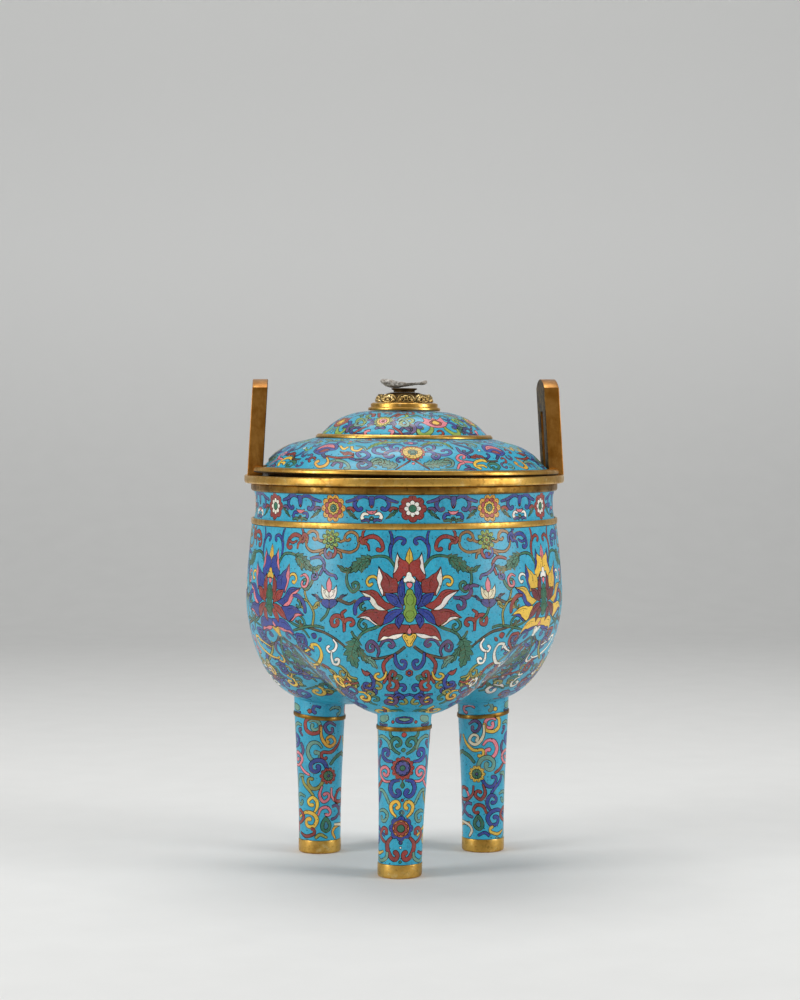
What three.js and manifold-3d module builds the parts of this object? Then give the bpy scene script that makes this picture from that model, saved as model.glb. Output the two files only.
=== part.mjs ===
// A lidded tripod incense burner: a copper bowl with cloisonne enamel, round above and swelling into three
// pouches below, each on a tubular leg, with gilt-bronze mouldings, two upright loop handles, and a domed lid
// that lifts straight off.
// Units are millimetres, +Z is up, and the origin is on the floor under the middle of the bowl.
import * as THREE from 'three';
import { mergeVertices } from 'three/addons/utils/BufferGeometryUtils.js';
import Module from 'manifold-3d';

const wasm = await Module();
wasm.setup();

// Driving dimensions
const GAP = 0.3;              // between pieces that are soldered or rest on each other
const WALL = 3.4;             // copper sheet with its enamel
const LID_WALL = 2.6;
const ROUND = 56;             // facets round the mouldings and the lid
const BOWL_ROUND = 72;        // facets round the bowl
const BOWL_STEPS = 10;        // rows down its pouches
const LEG_ROUND = 24;         // facets round a leg
const FINIAL_ROUND = 32;      // facets round the finial's base and seat
const STUD_ROUND = 20;        // facets round the small turned pieces of the finial

const BELLY = { radius: 164.5, widest: 280.9, top: 350.2, topRadius: 158.5, shoulder: 1.3, wall: 4.4 };
// Under the height `start` the bowl is three pouches. Each is a stack of circles whose middles move out to
// `reach` while they shrink; `swell` and `spread` are exponents, and `valley` is the width in degrees of the
// rounding between two pouches.
const POUCH = { start: 270, bottom: 158, reach: 75, swell: 2.7, spread: 1.4, valley: 6 };
const NECK = {
  bottom: 350.5, top: 384.4, foot: 156.5, waist: 154.6, lip: 156.2, waistFrom: 364, waistTo: 378,
};

// Mouldings. `under` and `over` are how far their lower and upper edges are worn back: inwards, then up or down.
const BELT = { bottom: 350.5, top: 356.8, radius: 159.4, under: [1, 1.75], over: [1, 1.75] };
const LOWER_RIM = { bottom: 384.7, top: 392.4, radius: 159.3, under: [1.2, 1.6], over: [0.8, 1] };
const UPPER_RIM = { bottom: 392.7, top: 401.0, radius: 166.2, mouth: 142, under: [1.6, 2.2], over: [1.2, 1.6] };

const HANDLE = {
  width: 66, thickness: 15.8, inner: 147.3, slotWidth: 22, slotTop: 466.5,
  slotCorner: 4, shoulder: 491, crown: 500, lean: 5.3 / 90,
  tenonWidth: 12, tenonDepth: 6.5, tenonInset: 1.5, tenonThickness: 10,
};

// Each leg's distance from the axis, its angle from the front, the middle height of its ring, and its lean:
// how far it goes sideways for each millimetre of height under `LEG_PIVOT`.
const LEGS = {
  front: { reach: 100, turn: -3.5, ring: 150.6, lean: 4.6 / 150 },
  right: { reach: 95, turn: 114.4, ring: 146.4, lean: 0 },
  left: { reach: 97, turn: 244.1, ring: 145.2, lean: 0 },
};
const LEG_PIVOT = 160;
const LEG_OUTLINE = [[22.0, 14.3], [22.3, 41], [23.2, 73], [25.0, 111], [26.8, 150], [27.6, 186]];
const LEG_RING = { height: 4, edge: 1.1, crest: 1.5, flat: 0.75 };
const FOOT = { height: 14, radius: 22.4, spigot: 21, edge: 1.3 };

const FLANGE = {
  bottom: 401.3, top: 408.3, radius: 162.1, inner: 137.4, lip: 140.5, lipBottom: 391,
  under: [0.8, 1.2], over: [1.4, 1.8],
};
const NOTCH = { depth: 141.0, width: 71, out: 200, bottom: 380, top: 460 };
const DOME_SEAT = 3.6;        // thickness of the lower dome where it rests on the flange
const LOWER_DOME = [[149.8, 408.6], [146.4, 411.6], [141.2, 416.0], [134.9, 422.1], [128.7, 426.3],
  [121.3, 430.4], [112.0, 433.6], [103.0, 435.8], [92.6, 438.4]];
const LID_BAND = {
  bottom: 438.7, top: 442.6, radius: 92.0, inner: 86.4, under: [0, 1], over: [2.2, 2.3],
};
const CROWN_DOME = [[86.0, 439.2], [85.6, 443.0], [81.6, 447.2], [77.4, 451.4], [71.7, 455.5],
  [65.4, 459.5], [54.0, 463.7], [44.5, 465.8], [30.0, 466.9]];

const FINIAL_BASE = [[37.1, 467.2], [37.7, 468.2], [37.3, 470.0], [34.9, 470.6], [34.9, 474.2],
  [32.3, 475.4]];
const LAPPETS = {
  count: 9, radius: 28.6, width: 18.6, thickness: 2.4, bottom: 475.7, ledge: 0.6, ledgeHeight: 1.6,
};
// Half of a lappet: shares of half its width, and heights above its foot.
const LAPPET_OUTLINE = [[0.94, 0], [1, 3.6], [0.95, 5.6], [0.72, 7.1], [0.42, 7.4], [0.2, 8.4], [0, 8.7]];
const SEAT = [[24.6, 475.7], [24.6, 479.3], [22.9, 482.1], [19.7, 484.4], [14.5, 486.1]];
const STEM = [[0, 486.4], [11.7, 486.4], [10.6, 487.8], [13.6, 489.6], [13.1, 490.6], [0, 490.6]];
// The stone from the front, its depth, and how much of its length and of its thickness is lost
// by the front and back faces.
const STONE_OUTLINE = [[-24.7, 498.5], [-22.3, 499.7], [-14.5, 499.5], [-9.1, 497.9], [-3.1, 497.1],
  [3.5, 495.9], [10.7, 496.4], [17.3, 497.3], [22.7, 498.8], [23.6, 496.4], [20.3, 494.8], [13.7, 494.4],
  [7.7, 493.6], [1.7, 492.4], [-4.3, 491.6], [-10.4, 491.0], [-17, 491.9], [-21.1, 494.0], [-24.2, 496.4]];
const STONE = { depth: 31, layers: 4, middle: 495.4, shorter: 0.2, thinner: 0.55 };
const STUD = { radius: 3.4, bottom: 444, top: 485, tip: 0.6 };
const WASHER = { radius: 13, thickness: 1.6 };
const NUT = { across: 14, height: 6 };

// Finishes
const ENAMEL = new THREE.MeshStandardMaterial({ color: 0x2f9db5, roughness: 0.28, metalness: 0.0 });
const GILT = new THREE.MeshStandardMaterial({ color: 0xc8963e, roughness: 0.32, metalness: 1.0 });
const DARK_BRONZE = new THREE.MeshStandardMaterial({ color: 0x5a4630, roughness: 0.6, metalness: 0.8 });
const QUARTZ = new THREE.MeshStandardMaterial({ color: 0xcfcac2, roughness: 0.5, metalness: 0.0 });

// Gives the geometry shared vertices only, without the slivers that a lathe leaves on its axis,
// and turns its faces outwards.
function closed(geometry) {
  geometry.deleteAttribute('normal');
  geometry.deleteAttribute('uv');
  const merged = mergeVertices(geometry, 1e-4);
  const place = merged.attributes.position;
  const corner = [new THREE.Vector3(), new THREE.Vector3(), new THREE.Vector3()];
  const kept = [];
  let volume = 0;
  for (let i = 0; i < merged.index.count; i += 3) {
    const face = [0, 1, 2].map((k) => merged.index.getX(i + k));
    if (new Set(face).size < 3) continue;
    face.forEach((v, k) => corner[k].fromBufferAttribute(place, v));
    volume += corner[0].dot(corner[1].clone().cross(corner[2]));
    kept.push(face);
  }
  merged.setIndex(kept.flatMap(([a, b, c]) => (volume < 0 ? [a, c, b] : [a, b, c])));
  return merged;
}

// Turns an outline of [radius, height] points about the Z axis.
function turned(outline, facets) {
  const geometry = new THREE.LatheGeometry(outline.map(([r, z]) => new THREE.Vector2(r, z)), facets);
  geometry.rotateX(Math.PI / 2);
  return closed(geometry);
}

// Turns a ring whose section is the given loop of [radius, height] points.
function ring(section, facets) {
  return turned([...section, section[0]], facets);
}

// A square moulding from `inner` outwards, with its two outer edges worn back.
function moulding(inner, { bottom, top, radius, under, over }) {
  return [[inner, bottom], [radius - under[0], bottom], [radius, bottom + under[1]],
    [radius, top - over[1]], [radius - over[0], top], [inner, top]];
}

// A line of [radius, height] points moved inwards by `depth`, square to itself.
function insideOf(line, depth) {
  return line.map(([r, z], i) => {
    const [before, after] = [line[Math.max(0, i - 1)], line[Math.min(line.length - 1, i + 1)]];
    const [dr, dz] = [after[0] - before[0], after[1] - before[1]];
    const length = Math.hypot(dr, dz);
    return [r - (depth * dz) / length, z + (depth * dr) / length];
  });
}

function toManifold(geometry) {
  return new wasm.Manifold(new wasm.Mesh({
    numProp: 3,
    vertProperties: Float32Array.from(geometry.attributes.position.array),
    triVerts: Uint32Array.from(geometry.index.array),
  }));
}

function fromManifold(solid) {
  const mesh = solid.getMesh();
  const geometry = new THREE.BufferGeometry();
  geometry.setAttribute('position', new THREE.BufferAttribute(Float32Array.from(mesh.vertProperties), 3));
  geometry.setIndex([...mesh.triVerts]);
  return geometry;
}

function cut(geometry, ...tools) {
  return fromManifold(tools.reduce((rest, tool) => rest.subtract(toManifold(tool)), toManifold(geometry)));
}

function join(first, ...others) {
  return fromManifold(others.reduce((sum, other) => sum.add(toManifold(other)), toManifold(first)));
}

function block(low, high) {
  const size = high.map((v, k) => v - low[k]);
  const geometry = new THREE.BoxGeometry(...size);
  geometry.translate(...low.map((v, k) => v + size[k] / 2));
  return closed(geometry);
}

const object = new THREE.Group();
const vessel = new THREE.Group();
const lid = new THREE.Group();
object.add(vessel, lid);

function piece(parent, name, geometry, material) {
  const mesh = new THREE.Mesh(geometry, material);
  mesh.name = name;
  parent.add(mesh);
  return mesh;
}

// Joins rows of points into one closed surface. Each column is a line of [radius, height] points at an angle
// from the front, and starts and ends on the axis.
function turnedColumns(angles, lineAt) {
  const lines = angles.map(lineAt);
  const count = lines[0].length;
  const places = lines.flatMap((line, i) => line.flatMap(
    ([r, z]) => [r * Math.sin(angles[i]), -r * Math.cos(angles[i]), z],
  ));
  const faces = angles.flatMap((_, i) => Array.from({ length: count - 1 }, (__, k) => {
    const here = i * count + k;
    const next = ((i + 1) % angles.length) * count + k;
    return [here, next, next + 1, here, next + 1, here + 1];
  }).flat());
  const geometry = new THREE.BufferGeometry();
  geometry.setAttribute('position', new THREE.BufferAttribute(Float32Array.from(places), 3));
  geometry.setIndex(faces);
  return closed(geometry);
}

// One circle of a pouch, at this share of the way down it.
function pouchCircle(share, inset) {
  const outside = POUCH.reach
    + (BELLY.radius - inset - POUCH.reach) * (1 - share ** POUCH.swell) ** (1 / POUCH.swell);
  const offset = POUCH.reach * Math.sin((Math.PI / 2) * share) ** POUCH.spread;
  return { offset, radius: outside - offset, z: POUCH.start - (POUCH.start - POUCH.bottom - inset) * share };
}

// How far down a pouch its circles still reach a line that passes their middles at this sine.
function deepestShare(sine, inset) {
  let [low, high] = [0, 1];
  for (let i = 0; i < 40; i += 1) {
    const middle = (low + high) / 2;
    const { offset, radius } = pouchCircle(middle, inset);
    if (radius > offset * sine) low = middle;
    else high = middle;
  }
  return low;
}

// The angle between a direction and the nearest pouch, as a share of 60 degrees, eased near the valley.
function fromPouch(angle) {
  const turns = Object.values(LEGS).map(({ turn }) => turn);
  const degrees = THREE.MathUtils.euclideanModulo(THREE.MathUtils.radToDeg(angle) - turns[0], 360);
  const edges = [...turns.map((turn) => turn - turns[0]), 360];
  const i = edges.findIndex((edge, k) => degrees <= edges[k + 1]);
  const half = (edges[i + 1] - edges[i]) / 2;
  const toValley = Math.abs(degrees - edges[i] - half) / half * 60;
  const eased = (Math.hypot(toValley, POUCH.valley) - POUCH.valley)
    / (Math.hypot(60, POUCH.valley) - POUCH.valley);
  return THREE.MathUtils.degToRad(60 * (1 - eased));
}

// The bowl's outline in one direction, from the middle of its underside out and up to its top edge.
function bowlLine(angle, inset, steps) {
  const away = fromPouch(angle);
  const [axis, deepest] = [deepestShare(1, inset), deepestShare(Math.sin(away), inset)];
  const point = (share, side) => {
    const { offset, radius, z } = pouchCircle(share, inset);
    const half = Math.sqrt(Math.max(0, radius ** 2 - (offset * Math.sin(away)) ** 2));
    return [Math.max(0, offset * Math.cos(away) + side * half), z];
  };
  const under = [0, 0.3, 0.6, 0.85].map((t) => point(deepest - (deepest - axis) * (1 - t) ** 2, -1));
  under[0][0] = 0;
  const wall = Array.from({ length: steps }, (_, i) => point(deepest * (1 - (i / steps) ** 1.6), 1));
  const rise = BELLY.top - BELLY.widest;
  const upper = [0.35, 0.7, 1].map((share) => [
    BELLY.radius - inset - (BELLY.radius - BELLY.topRadius) * share ** BELLY.shoulder,
    BELLY.widest + rise * share,
  ]);
  const straight = [[BELLY.radius - inset, POUCH.start], [BELLY.radius - inset, BELLY.widest]];
  return [...under, ...wall, ...straight, ...upper];
}

const bowlAngles = Array.from({ length: BOWL_ROUND }, (_, i) => (2 * Math.PI * i) / BOWL_ROUND);

function bellyBowl() {
  return turnedColumns(bowlAngles, (angle) => [
    ...bowlLine(angle, 0, BOWL_STEPS), ...bowlLine(angle, BELLY.wall, BOWL_STEPS - 2).reverse(),
  ]);
}

function neckCollar() {
  const outer = [[NECK.foot, NECK.bottom], [NECK.foot, BELT.top], [NECK.waist, NECK.waistFrom],
    [NECK.waist, NECK.waistTo], [NECK.lip, NECK.top]];
  const inner = outer.map(([r, z]) => [r - WALL, z]).reverse();
  return ring([...outer, ...inner], ROUND);
}

function beltRing() {
  return ring(moulding(NECK.foot + GAP, BELT), ROUND);
}

function lowerRim() {
  return ring(moulding(NECK.lip - WALL, LOWER_RIM), ROUND);
}

// The tenons of each handle go into these pockets in the broad upper rim.
function upperRim() {
  const { inner, tenonInset, tenonThickness, tenonWidth, tenonDepth, lean } = HANDLE;
  const near = inner + tenonInset - GAP;
  const far = inner + tenonInset + tenonThickness + lean * (tenonDepth + GAP) + GAP;
  const half = tenonWidth / 2 + GAP;
  const bottom = UPPER_RIM.top - tenonDepth - GAP;
  const pockets = [1, -1].flatMap((side) => [1, -1].map((limb) => {
    const middle = limb * tenonMiddle();
    const [x0, x1] = side > 0 ? [near, far] : [-far, -near];
    return block([x0, middle - half, bottom], [x1, middle + half, UPPER_RIM.top + 1]);
  }));
  return cut(ring(moulding(UPPER_RIM.mouth, UPPER_RIM), ROUND), ...pockets);
}

function tenonMiddle() {
  return (HANDLE.width / 2 + HANDLE.slotWidth / 2) / 2;
}

// A loop handle: two limbs and a thick head under a low arch, leaning in a little towards the lid.
function loopHandle() {
  const { width, slotWidth, slotTop, slotCorner, shoulder, crown, thickness, inner } = HANDLE;
  const foot = UPPER_RIM.top + GAP;
  const half = width / 2;
  const slot = slotWidth / 2;
  const rise = crown - shoulder;
  const archRadius = (half * half + rise * rise) / (2 * rise);
  const archAngle = Math.asin(half / archRadius);
  const outline = new THREE.Shape();
  outline.moveTo(-half, foot);
  outline.lineTo(-slot, foot);
  outline.lineTo(-slot, slotTop - slotCorner);
  outline.quadraticCurveTo(-slot, slotTop, -slot + slotCorner, slotTop);
  outline.lineTo(slot - slotCorner, slotTop);
  outline.quadraticCurveTo(slot, slotTop, slot, slotTop - slotCorner);
  outline.lineTo(slot, foot);
  outline.lineTo(half, foot);
  outline.lineTo(half, shoulder);
  outline.absarc(0, crown - archRadius, archRadius, Math.PI / 2 - archAngle, Math.PI / 2 + archAngle, false);
  outline.lineTo(-half, foot);
  const loop = new THREE.ExtrudeGeometry(outline, {
    depth: thickness, bevelEnabled: false, curveSegments: 5,
  });
  // The outline's axes become Y and Z, and the extrusion runs out along X from the inner face.
  loop.applyMatrix4(new THREE.Matrix4().makeBasis(
    new THREE.Vector3(0, 1, 0), new THREE.Vector3(0, 0, 1), new THREE.Vector3(1, 0, 0),
  ));
  loop.translate(inner, 0, 0);
  const near = inner + HANDLE.tenonInset;
  const tenons = [1, -1].map((limb) => block(
    [near, limb * tenonMiddle() - HANDLE.tenonWidth / 2, UPPER_RIM.top - HANDLE.tenonDepth],
    [near + HANDLE.tenonThickness, limb * tenonMiddle() + HANDLE.tenonWidth / 2, foot + 1],
  ));
  const joined = join(closed(loop), ...tenons);
  const lean = -HANDLE.lean;
  joined.translate(0, 0, -foot);
  joined.applyMatrix4(new THREE.Matrix4().makeShear(0, 0, 0, 0, lean, 0));
  joined.translate(0, 0, foot);
  return joined;
}

// One leg about its own axis. The tube is cut to sit under the bowl where the leg stands.
function legTube(at) {
  const inner = LEG_OUTLINE.map(([r, z]) => [r - WALL, z]).reverse();
  const tube = ring([...LEG_OUTLINE, ...inner], LEG_ROUND);
  const bowl = turnedColumns(bowlAngles, (angle) => [...bowlLine(angle, -GAP, BOWL_STEPS), [0, BELLY.top]]);
  bowl.translate(-at.x, -at.y, 0);
  return cut(tube, bowl);
}

function legRadius(z) {
  const i = LEG_OUTLINE.findIndex(([, height]) => height >= z);
  const [[r0, z0], [r1, z1]] = [LEG_OUTLINE[i - 1], LEG_OUTLINE[i]];
  return r0 + ((r1 - r0) * (z - z0)) / (z1 - z0);
}

// A half-round wire about the leg.
function legRing(middle) {
  const half = LEG_RING.height / 2;
  const flat = half * LEG_RING.flat;
  const inner = legRadius(middle + half) + GAP;
  return ring([[inner, middle - half], [inner + LEG_RING.edge, middle - flat], [inner + LEG_RING.crest, middle],
    [inner + LEG_RING.edge, middle + flat], [inner, middle + half]], LEG_ROUND);
}

function footCap() {
  const { radius, height, spigot, edge } = FOOT;
  const inside = LEG_OUTLINE[0][0] - WALL - GAP;
  return turned([[0, 0], [radius - edge, 0], [radius, edge], [radius, height],
    [inside, height], [inside, spigot], [0, spigot]], LEG_ROUND);
}

function standLegs() {
  Object.entries(LEGS).forEach(([side, { reach, turn, ring: middle, lean }]) => {
    const angle = THREE.MathUtils.degToRad(turn);
    const at = new THREE.Vector3(reach * Math.sin(angle), -reach * Math.cos(angle), 0);
    const parts = [[`leg_${side}_tube`, legTube(at), ENAMEL], [`leg_${side}_ring`, legRing(middle), GILT],
      [`leg_${side}_foot`, footCap(), GILT]];
    parts.forEach(([name, geometry, material]) => {
      geometry.translate(0, 0, -LEG_PIVOT);
      geometry.applyMatrix4(new THREE.Matrix4().makeShear(0, 0, 0, 0, lean, 0));
      geometry.translate(0, 0, LEG_PIVOT);
      piece(vessel, name, geometry, material).position.copy(at);
    });
  });
}

// The lid clears the handles through a notch on each side as it lifts.
function notches() {
  return [1, -1].map((side) => {
    const [x0, x1] = side > 0 ? [NOTCH.depth, NOTCH.out] : [-NOTCH.out, -NOTCH.depth];
    return block([x0, -NOTCH.width / 2, NOTCH.bottom], [x1, NOTCH.width / 2, NOTCH.top]);
  });
}

// Its lip hangs inside the mouth.
function lidFlange() {
  const [, ...section] = moulding(FLANGE.inner, FLANGE);
  const lip = [[FLANGE.inner, FLANGE.lipBottom], [FLANGE.lip, FLANGE.lipBottom], [FLANGE.lip, FLANGE.bottom]];
  return cut(ring([...lip, ...section], ROUND), ...notches());
}

function lidLowerDome() {
  const foot = LOWER_DOME[0][1];
  const [endRadius, end] = LOWER_DOME[LOWER_DOME.length - 1];
  const inside = insideOf(LOWER_DOME, LID_WALL)
    .filter(([r], i) => i % 2 === 1 && r < FLANGE.inner && r > endRadius).reverse();
  return cut(ring([...LOWER_DOME, [LID_BAND.inner, end], [LID_BAND.inner, end - LID_WALL], ...inside,
    [FLANGE.inner, foot + DOME_SEAT], [FLANGE.inner, foot]], ROUND), ...notches());
}

function lidBand() {
  return ring(moulding(LID_BAND.inner, LID_BAND), ROUND);
}

function lidCrownDome() {
  const bore = STUD.radius + GAP;
  const [foot, top] = [CROWN_DOME[0], CROWN_DOME[CROWN_DOME.length - 1][1]];
  const inside = insideOf(CROWN_DOME, LID_WALL).filter((_, i) => i % 2 === 0 && i > 0).reverse();
  return ring([...CROWN_DOME, [bore, top], [bore, top - LID_WALL], ...inside,
    [foot[0] - LID_WALL, foot[1]]], ROUND);
}

function finialBase() {
  const bore = STUD.radius + GAP;
  const [bottom, top] = [FINIAL_BASE[0][1], FINIAL_BASE[FINIAL_BASE.length - 1][1]];
  return ring([[bore, bottom], ...FINIAL_BASE, [bore, top]], FINIAL_ROUND);
}

// Upright cloud-headed lappets, cast in one with the low ring that they stand on.
function finialLappets() {
  const { count, radius, width, thickness, bottom, ledge, ledgeHeight } = LAPPETS;
  const side = LAPPET_OUTLINE.map(([share, height]) => [(share * width) / 2, bottom + height]);
  const mirrored = side.slice(0, -1).reverse().map(([y, z]) => [-y, z]);
  const outline = new THREE.Shape([...side, ...mirrored].map(([y, z]) => new THREE.Vector2(y, z)));
  const [inner, outer, top] = [radius - thickness, radius + ledge, bottom + ledgeHeight];
  const foot = ring([[inner, bottom], [outer, bottom], [outer, top], [inner, top]], FINIAL_ROUND);
  const lappets = Array.from({ length: count }, (_, i) => {
    const lappet = new THREE.ExtrudeGeometry(outline, { depth: thickness, bevelEnabled: false });
    lappet.applyMatrix4(new THREE.Matrix4().makeBasis(
      new THREE.Vector3(0, 1, 0), new THREE.Vector3(0, 0, 1), new THREE.Vector3(1, 0, 0),
    ));
    lappet.translate(radius - thickness / 2, 0, 0);
    lappet.rotateZ((2 * Math.PI * i) / count - Math.PI / 2);
    return closed(lappet);
  });
  return join(foot, ...lappets);
}

function finialSeat() {
  const bore = STUD.radius + GAP;
  return ring([[bore, SEAT[0][1]], ...SEAT, [bore, SEAT[SEAT.length - 1][1]]], FINIAL_ROUND);
}

function finialStem() {
  return turned(STEM, STUD_ROUND);
}

// The broken plate that is left of the stone finial. It is thickest through its middle layer.
function finialStone() {
  const { depth, layers, middle, shorter, thinner } = STONE;
  const outline = new THREE.Shape(STONE_OUTLINE.map(([x, z]) => new THREE.Vector2(x, z)));
  const plate = closed(new THREE.ExtrudeGeometry(outline, { depth, steps: layers, bevelEnabled: false }));
  plate.rotateX(Math.PI / 2);
  plate.translate(0, depth / 2, 0);
  const place = plate.attributes.position;
  for (let i = 0; i < place.count; i += 1) {
    const share = (place.getY(i) / (depth / 2)) ** 2;
    place.setX(i, place.getX(i) * (1 - shorter * share));
    place.setZ(i, middle + (place.getZ(i) - middle) * (1 - thinner * share));
  }
  return plate;
}

function finialStud() {
  const { radius, bottom, top, tip } = STUD;
  const outline = [[0, bottom], [radius - tip, bottom], [radius, bottom + tip], [radius, top], [0, top]];
  return turned(outline, STUD_ROUND);
}

const washerTop = CROWN_DOME[CROWN_DOME.length - 1][1] - LID_WALL - GAP;

function finialWasher() {
  const bore = STUD.radius + GAP;
  const bottom = washerTop - WASHER.thickness;
  const { radius } = WASHER;
  return ring([[bore, bottom], [radius, bottom], [radius, washerTop], [bore, washerTop]], STUD_ROUND);
}

function finialNut() {
  const shape = new THREE.Shape();
  const corner = NUT.across / Math.sqrt(3);
  for (let i = 0; i < 6; i += 1) {
    const angle = (Math.PI / 3) * i;
    const point = [corner * Math.cos(angle), corner * Math.sin(angle)];
    if (i === 0) shape.moveTo(...point);
    else shape.lineTo(...point);
  }
  const bore = new THREE.Path();
  bore.absarc(0, 0, STUD.radius + GAP, 0, 2 * Math.PI, true);
  shape.holes.push(bore);
  const nut = new THREE.ExtrudeGeometry(shape, { depth: NUT.height, bevelEnabled: false, curveSegments: STUD_ROUND });
  nut.translate(0, 0, washerTop - WASHER.thickness - GAP - NUT.height);
  return closed(nut);
}

piece(vessel, 'belly_bowl', bellyBowl(), ENAMEL);
piece(vessel, 'neck_collar', neckCollar(), ENAMEL);
piece(vessel, 'belt_ring', beltRing(), GILT);
piece(vessel, 'mouth_rim_lower', lowerRim(), GILT);
piece(vessel, 'mouth_rim_upper', upperRim(), GILT);
piece(vessel, 'handle_right', loopHandle(), GILT);
piece(vessel, 'handle_left', loopHandle(), GILT).rotation.z = Math.PI;
standLegs();

piece(lid, 'lid_flange', lidFlange(), GILT);
piece(lid, 'lid_lower_dome', lidLowerDome(), ENAMEL);
piece(lid, 'lid_band', lidBand(), GILT);
piece(lid, 'lid_crown_dome', lidCrownDome(), ENAMEL);
piece(lid, 'finial_base', finialBase(), GILT);
piece(lid, 'finial_lappets', finialLappets(), GILT);
piece(lid, 'finial_seat', finialSeat(), DARK_BRONZE);
piece(lid, 'finial_stem', finialStem(), DARK_BRONZE);
piece(lid, 'finial_stone', finialStone(), QUARTZ);
piece(lid, 'finial_stud', finialStud(), DARK_BRONZE);
piece(lid, 'finial_washer', finialWasher(), DARK_BRONZE);
piece(lid, 'finial_nut', finialNut(), DARK_BRONZE);

export default object;
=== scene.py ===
import math

import bpy
import numpy as np
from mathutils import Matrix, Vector
from mathutils.geometry import delaunay_2d_cdt


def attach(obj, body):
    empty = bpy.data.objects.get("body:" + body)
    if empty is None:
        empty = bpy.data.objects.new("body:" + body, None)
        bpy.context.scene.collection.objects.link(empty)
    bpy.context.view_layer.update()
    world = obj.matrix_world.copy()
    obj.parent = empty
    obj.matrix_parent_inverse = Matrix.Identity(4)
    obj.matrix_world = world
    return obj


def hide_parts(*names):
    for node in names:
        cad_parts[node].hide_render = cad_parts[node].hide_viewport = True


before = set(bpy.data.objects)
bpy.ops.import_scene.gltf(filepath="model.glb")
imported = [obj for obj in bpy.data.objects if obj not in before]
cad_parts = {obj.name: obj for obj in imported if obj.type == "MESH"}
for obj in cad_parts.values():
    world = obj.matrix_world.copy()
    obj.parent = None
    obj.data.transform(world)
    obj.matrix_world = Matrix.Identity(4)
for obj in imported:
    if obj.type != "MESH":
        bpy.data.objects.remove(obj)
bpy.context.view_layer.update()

# The room: a pale sweep of paper under and behind the burner, two tall soft lamps at its sides, a wide one
# above, and a camera two and a half metres away, a little below the lid, looking slightly down.
MM = 0.001


class Socket:
    """A shader socket that can stand in a sum: each operator adds one Math node."""

    def __init__(self, shader, socket):
        self.shader, self.socket = shader, socket

    def math(self, operation, first, *others):
        return self.shader.node("ShaderNodeMath", {"operation": operation}, [first, *others])[0]

    def __add__(self, other):
        return self.math("ADD", self, other)

    def __sub__(self, other):
        return self.math("SUBTRACT", self, other)

    def __rsub__(self, other):
        return self.math("SUBTRACT", other, self)

    def __mul__(self, other):
        return self.math("MULTIPLY", self, other)

    def __lt__(self, other):
        return self.math("LESS_THAN", self, other)

    def __gt__(self, other):
        return self.math("GREATER_THAN", self, other)

    __radd__, __rmul__ = __add__, __mul__


class Shader:
    """A material, or the world, whose nodes are added one by one."""

    def __init__(self, name, kind=bpy.data.materials):
        self.owner = kind.new(name)
        self.owner.use_nodes = True
        self.tree = self.owner.node_tree
        self.tree.nodes.clear()

    def node(self, kind, settings, inputs):
        """Adds a node, sets its settings, fills or links its sockets, and returns its outputs. A value in
        quotes is a screen colour."""
        made = self.tree.nodes.new(kind)
        for name, value in settings.items():
            setattr(made, name, value)
        pairs = inputs.items() if isinstance(inputs, dict) else enumerate(inputs)
        for name, value in pairs:
            if isinstance(value, Socket):
                self.tree.links.new(value.socket, made.inputs[name])
            else:
                made.inputs[name].default_value = paint(value) if isinstance(value, str) else value
        return [Socket(self, output) for output in made.outputs]

    def coordinates(self):
        return self.node("ShaderNodeTexCoord", {}, {})[3]

    def attribute(self, name):
        """The outputs that read a value or colour kept with the mesh."""
        return self.node("ShaderNodeAttribute", {"attribute_name": name}, {})

    def bump(self, height, strength, depth):
        """The normal of a surface that this height roughens, one unit of it being `depth` metres."""
        return self.node("ShaderNodeBump", {}, {"Strength": strength, "Distance": depth, "Height": height})[0]

    def noise(self, size, detail, roughness=0.5, stretch=(1, 1, 1), shift=0.0):
        """Noise from 0 to 1 whose patches are about `size` millimetres."""
        place = self.node("ShaderNodeMapping", {}, {
            "Vector": self.coordinates(), "Location": (shift, shift * 0.7, shift * 1.3), "Scale": stretch})[0]
        return self.node("ShaderNodeTexNoise", {}, {
            "Vector": place, "Scale": 1 / (size * MM), "Detail": detail, "Roughness": roughness})[0]

    def ramp(self, value, low, high, start=0.0, end=1.0):
        """Eases from `start` to `end` as value goes from low to high."""
        return self.node("ShaderNodeMapRange", {"interpolation_type": "SMOOTHSTEP"}, {
            "Value": value, "From Min": low, "From Max": high, "To Min": start, "To Max": end})[0]

    def mix(self, factor, first, second, blend="MIX"):
        """Mixes two colours."""
        return self.node("ShaderNodeMix", {"data_type": "RGBA", "blend_type": blend},
                         {0: factor, 6: first, 7: second})[2]

    def finish(self, **sockets):
        """Joins a Principled shader with these sockets to the material's output."""
        names = {name.replace("_", " "): value for name, value in sockets.items()}
        surface = self.node("ShaderNodeBsdfPrincipled", {}, names)[0]
        self.node("ShaderNodeOutputMaterial", {}, {"Surface": surface})
        return self.owner


def paint(code):
    """Turns a screen colour such as 2fa5bd into the linear colour that shaders use."""
    parts = np.array([int(code[i:i + 2], 16) / 255 for i in (0, 2, 4)])
    linear = np.where(parts <= 0.04045, parts / 12.92, ((parts + 0.055) / 1.055) ** 2.4)
    return (*linear.tolist(), 1.0)


ROOM = {"half_width": 6.0, "front": -4.0, "bend": 2.4, "bend_radius": 1.6, "height": 5.0}


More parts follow.
